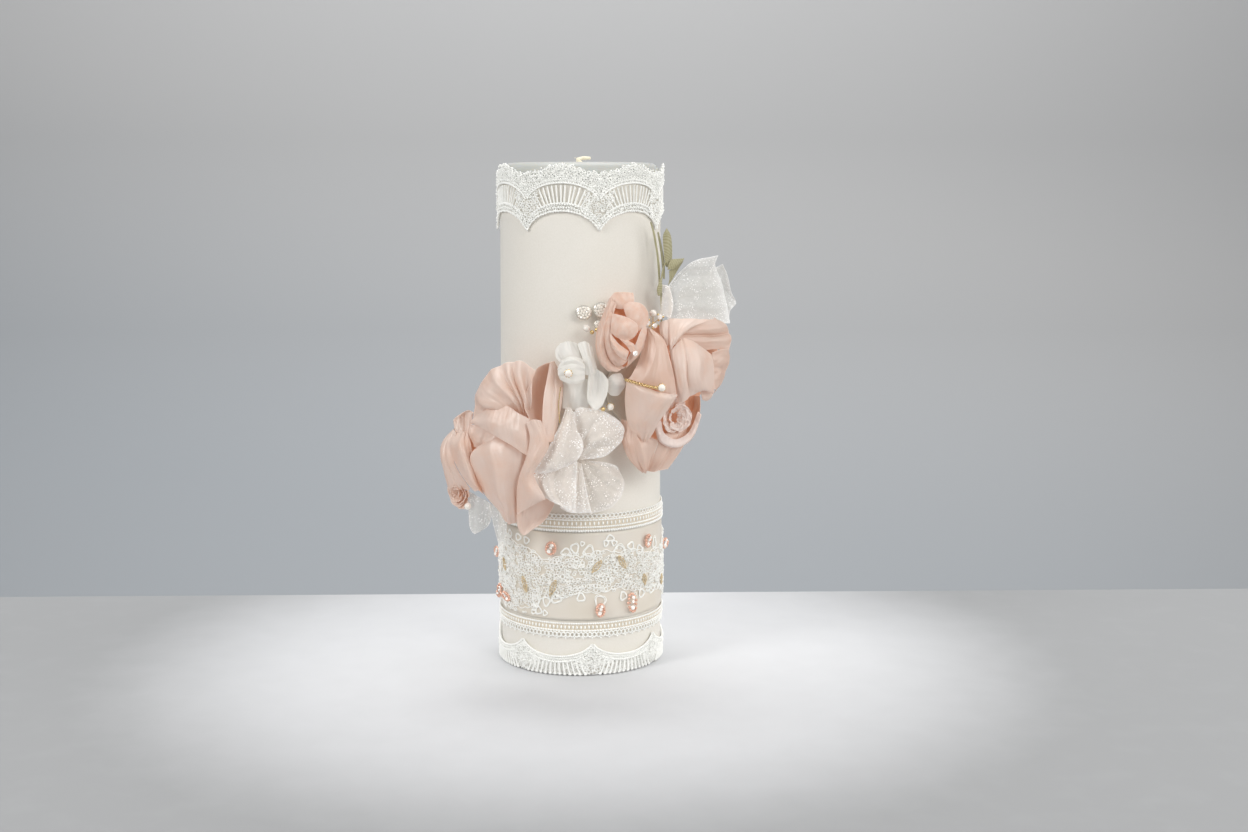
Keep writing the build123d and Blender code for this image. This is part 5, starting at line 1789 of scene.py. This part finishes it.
def tie_organza_bow():
    petal("organza_bow_front", [
        [(36.7, -33, 153.4), (37.4, -30, 158), (37.6, -28, 163), (37.9, -27, 167.4)],
        [(44, -32, 152.6), (42.4, -29, 161), (42, -27, 168), (42.6, -25.4, 173)],
        [(52, -28, 151.4), (49, -25, 162), (47.6, -24, 171), (48.9, -24, 177.8)],
        [(59, -24, 150.6), (57, -21, 161), (55.4, -20.4, 171), (56.4, -21.4, 179.4)],
        [(65, -20, 150.2), (63.4, -17, 160), (61, -18, 169), (58.4, -20, 176), (59.6, -21, 180)],
    ], cloth="bow_organza", cells=34, wrinkle=0.4, seed=2,
        pleats=[(0.2, 0.04, 0.7), (0.35, 0.04, -0.7), (0.5, 0.04, 0.7), (0.68, 0.04, -0.7),
                (0.85, 0.04, 0.7)])
    petal("organza_bow_back", [
        [(42, -22, 152), (42, -20, 160), (44, -18, 166)],
        [(54, -18, 150), (53, -16, 162), (53, -14.6, 171)],
        [(62, -16, 150.4), (62, -14, 161), (60.6, -14.6, 170), (61, -17, 175.6)],
        [(65, -15, 150.6), (65.4, -14, 155.4), (68.3, -13, 158.7), (66.2, -13.4, 163),
         (64.4, -15.4, 170), (61.6, -18, 175.6)],
    ], cloth="bow_organza", cells=34, wrinkle=0.4, seed=3,
        pleats=[(0.25, 0.05, 0.8), (0.45, 0.04, -0.8), (0.65, 0.05, 0.8)])
    petal("organza_bow_knot", [
        [(33.6, -34, 155), (34.6, -30, 162), (34, -27.6, 168)],
        [(36, -34.6, 154.6), (37, -31, 161), (36.6, -28.4, 167.6)],
        [(38.4, -34.4, 154), (39.6, -31, 160), (38.2, -28, 167)],
    ], cloth="sheer_organza", cells=16, wrinkle=0.3, seed=4)
    petal("organza_tails", [
        [(-47.5, -35, 80), (-43, -36.6, 78), (-38, -37.4, 75)],
        [(-48, -33, 71), (-43.4, -35, 70), (-38.2, -34.6, 69)],
        [(-47.8, -30.6, 64), (-43, -32.4, 64.4), (-39.4, -31.6, 65)],
        [(-46.6, -29, 61), (-45.4, -29.6, 60.6), (-43.4, -30, 61.4)],
    ], cloth="bow_organza", wrinkle=0.3, seed=5, pleats=[(0.4, 0.08, 0.6), (0.7, 0.08, -0.6)])
    petal("organza_second_tail", [
        [(-39, -39, 76), (-35, -40, 74), (-31.6, -40, 70)],
        [(-38, -37.6, 70), (-34.6, -38.4, 68), (-31.4, -38.4, 65)],
        [(-36.8, -34.6, 63), (-34.4, -35.4, 62), (-32, -36.4, 61.6)],
        [(-35.6, -34.4, 58.5), (-34.4, -34.6, 58.2), (-33.2, -35, 58.8)],
    ], cloth="bow_organza", wrinkle=0.3, seed=6)


class CANDLE_OT_organza_bow(Operator):
    """Stand the organza bow at the right and hang the tails at the left"""
    bl_idname = "candle.organza_bow"
    bl_label = "Organza bow and tails"

    def execute(self, context):
        tie_organza_bow()
        return {"FINISHED"}


FELT_ROUNDS = [(-37.0, 101.0, 17.0), (3.0, 126.0, 8.0), (42.0, 124.0, 17.0)]  # facing, z, radius


class CANDLE_OT_leaves(Operator):
    """Set the sage leaves and their stem, and bend the felt rounds to the candle"""
    bl_idname = "candle.leaves"
    bl_label = "Leaves and felt"

    def execute(self, context):
        petal("sage_leaves", [
            [(29.8, -27.4, 194.4), (31, -26.6, 190), (32.4, -26, 182), (33.2, -26.4, 174),
             (33.6, -27, 166)],
            [(30.4, -26.8, 194.6), (31.8, -26, 190), (33.2, -25.4, 182), (34.2, -25.8, 174),
             (34, -26.8, 166)],
        ], [
            [(33, -24.6, 190), (34, -24.4, 184), (35, -25.2, 176), (35.6, -26.4, 170)],
            [(33.6, -24.2, 190.4), (35, -23.8, 184), (36.2, -24.6, 176), (36.2, -26, 170)],
        ], [
            [(36.9, -24.4, 191.6), (37.1, -24.4, 191.8)],
            [(35.4, -24.6, 188.6), (37.2, -25.2, 189), (39, -24, 188)],
            [(35.6, -24.8, 183), (37.6, -25.8, 182), (39.4, -24.2, 180)],
            [(36, -25.4, 178), (37.4, -26.4, 177), (38.6, -25.4, 177)],
            [(36.6, -26, 175.4), (37, -26.4, 175), (37.6, -26, 175.4)],
        ], [
            [(37.2, -28, 174), (37.6, -27.6, 176.4), (38.8, -27, 178.6)],
            [(40, -28.6, 174.6), (40.6, -28.4, 176.6), (41.6, -27.4, 178.8)],
            [(43.4, -27.4, 177.4), (44, -27, 178), (44.6, -26.6, 178.9)],
        ], [
            [(37.8, -27.6, 173.6), (41, -27.2, 175.6), (44.4, -26.4, 178)],
            [(38, -28, 170), (40, -27.4, 172.6), (42.4, -26.8, 175)],
            [(37.6, -28.2, 167.4), (38, -28, 168), (38.6, -27.8, 168.8)],
        ], [
            [(34, -29, 170.4), (34.4, -29, 170.6), (34.8, -29, 170.4)],
            [(32.6, -30, 166), (33.6, -30.6, 166), (34.8, -29.8, 166)],
            [(32.8, -30.4, 163.4), (33.4, -30.8, 163), (34, -30.4, 163.4)],
        ], cloth="leaf_fabric", nodes=("blade_leaves", "broad_leaves"), thickness=0.3,
            wrinkle=0.12, cells=16, held="stretched", cut=(20.0, 20.0))
        stem = smooth_run([(34.6, -30, 150), (34.6, -29.6, 158), (34.4, -28.6, 168),
                           (35.4, -27, 174), (36.4, -26.4, 177)], 30)
        cords("sprig_stems", [stem], 0.42, "leaf_fabric", ("sprig_stem",), sides=2)

        felt = bmesh.new()
        for facing, z, radius in FELT_ROUNDS:
            made = bmesh.ops.create_circle(felt, cap_ends=True, segments=40, radius=radius)
            faces = list({f for v in made["verts"] for f in v.link_faces})
            inner = bmesh.ops.inset_region(felt, faces=faces, thickness=radius * 0.45)
            verts = set(made["verts"]) | {v for f in inner["faces"] for v in f.verts}
            verts |= {v for f in faces for v in f.verts if f.is_valid}
            for vert in verts:
                spread = math.degrees(vert.co.x / (SPRAY_RADIUS + 0.6))
                vert.co = around(facing + spread, z + vert.co.y, SPRAY_RADIUS + 0.6) * MM
        bmesh.ops.poke(felt, faces=[f for f in felt.faces if len(f.verts) > 4])
        bmesh.ops.recalc_face_normals(felt, faces=felt.faces)
        obj = mesh_object("felt_rounds", felt)
        thicken(obj, 1.1, 0)
        ride(obj, "felt", ("felt_discs",))
        return {"FINISHED"}


# ------------------------------------------------------------------------------ add-on
class CANDLE_PT_panel(Panel):
    """Lists the candle's pieces in the sidebar"""
    bl_label = "Unity Candle"
    bl_idname = "CANDLE_PT_panel"
    bl_space_type = "VIEW_3D"
    bl_region_type = "UI"
    bl_category = "Candle"

    def draw(self, context):
        for operator in OPERATORS:
            self.layout.operator(operator.bl_idname)
        for group in (context.scene.candle_sizes, context.scene.candle_colours):
            box = self.layout.box()
            for name in group.__annotations__:
                box.prop(group, name)


OPERATORS = (
    CANDLE_OT_stage, CANDLE_OT_pillar, CANDLE_OT_wrap, CANDLE_OT_top_lace, CANDLE_OT_hem_lace,
    CANDLE_OT_braids, CANDLE_OT_panel, CANDLE_OT_beading, CANDLE_OT_jewels, CANDLE_OT_left_rose,
    CANDLE_OT_blossom, CANDLE_OT_organza_flower, CANDLE_OT_rosebud, CANDLE_OT_right_rose,
    CANDLE_OT_small_roses, CANDLE_OT_organza_bow, CANDLE_OT_leaves,
)
CLASSES = (CandleColours, CandleSizes, *OPERATORS, CANDLE_PT_panel)


def register():
    for cls in CLASSES:
        bpy.utils.register_class(cls)
    bpy.types.Scene.candle_colours = PointerProperty(type=CandleColours)
    bpy.types.Scene.candle_sizes = PointerProperty(type=CandleSizes)


def unregister():
    del bpy.types.Scene.candle_sizes
    del bpy.types.Scene.candle_colours
    for cls in reversed(CLASSES):
        bpy.utils.unregister_class(cls)


def main():
    register()
    for operator in OPERATORS:
        group, name = operator.bl_idname.split(".")
        getattr(getattr(bpy.ops, group), name)()


if __name__ == "__main__":
    main()
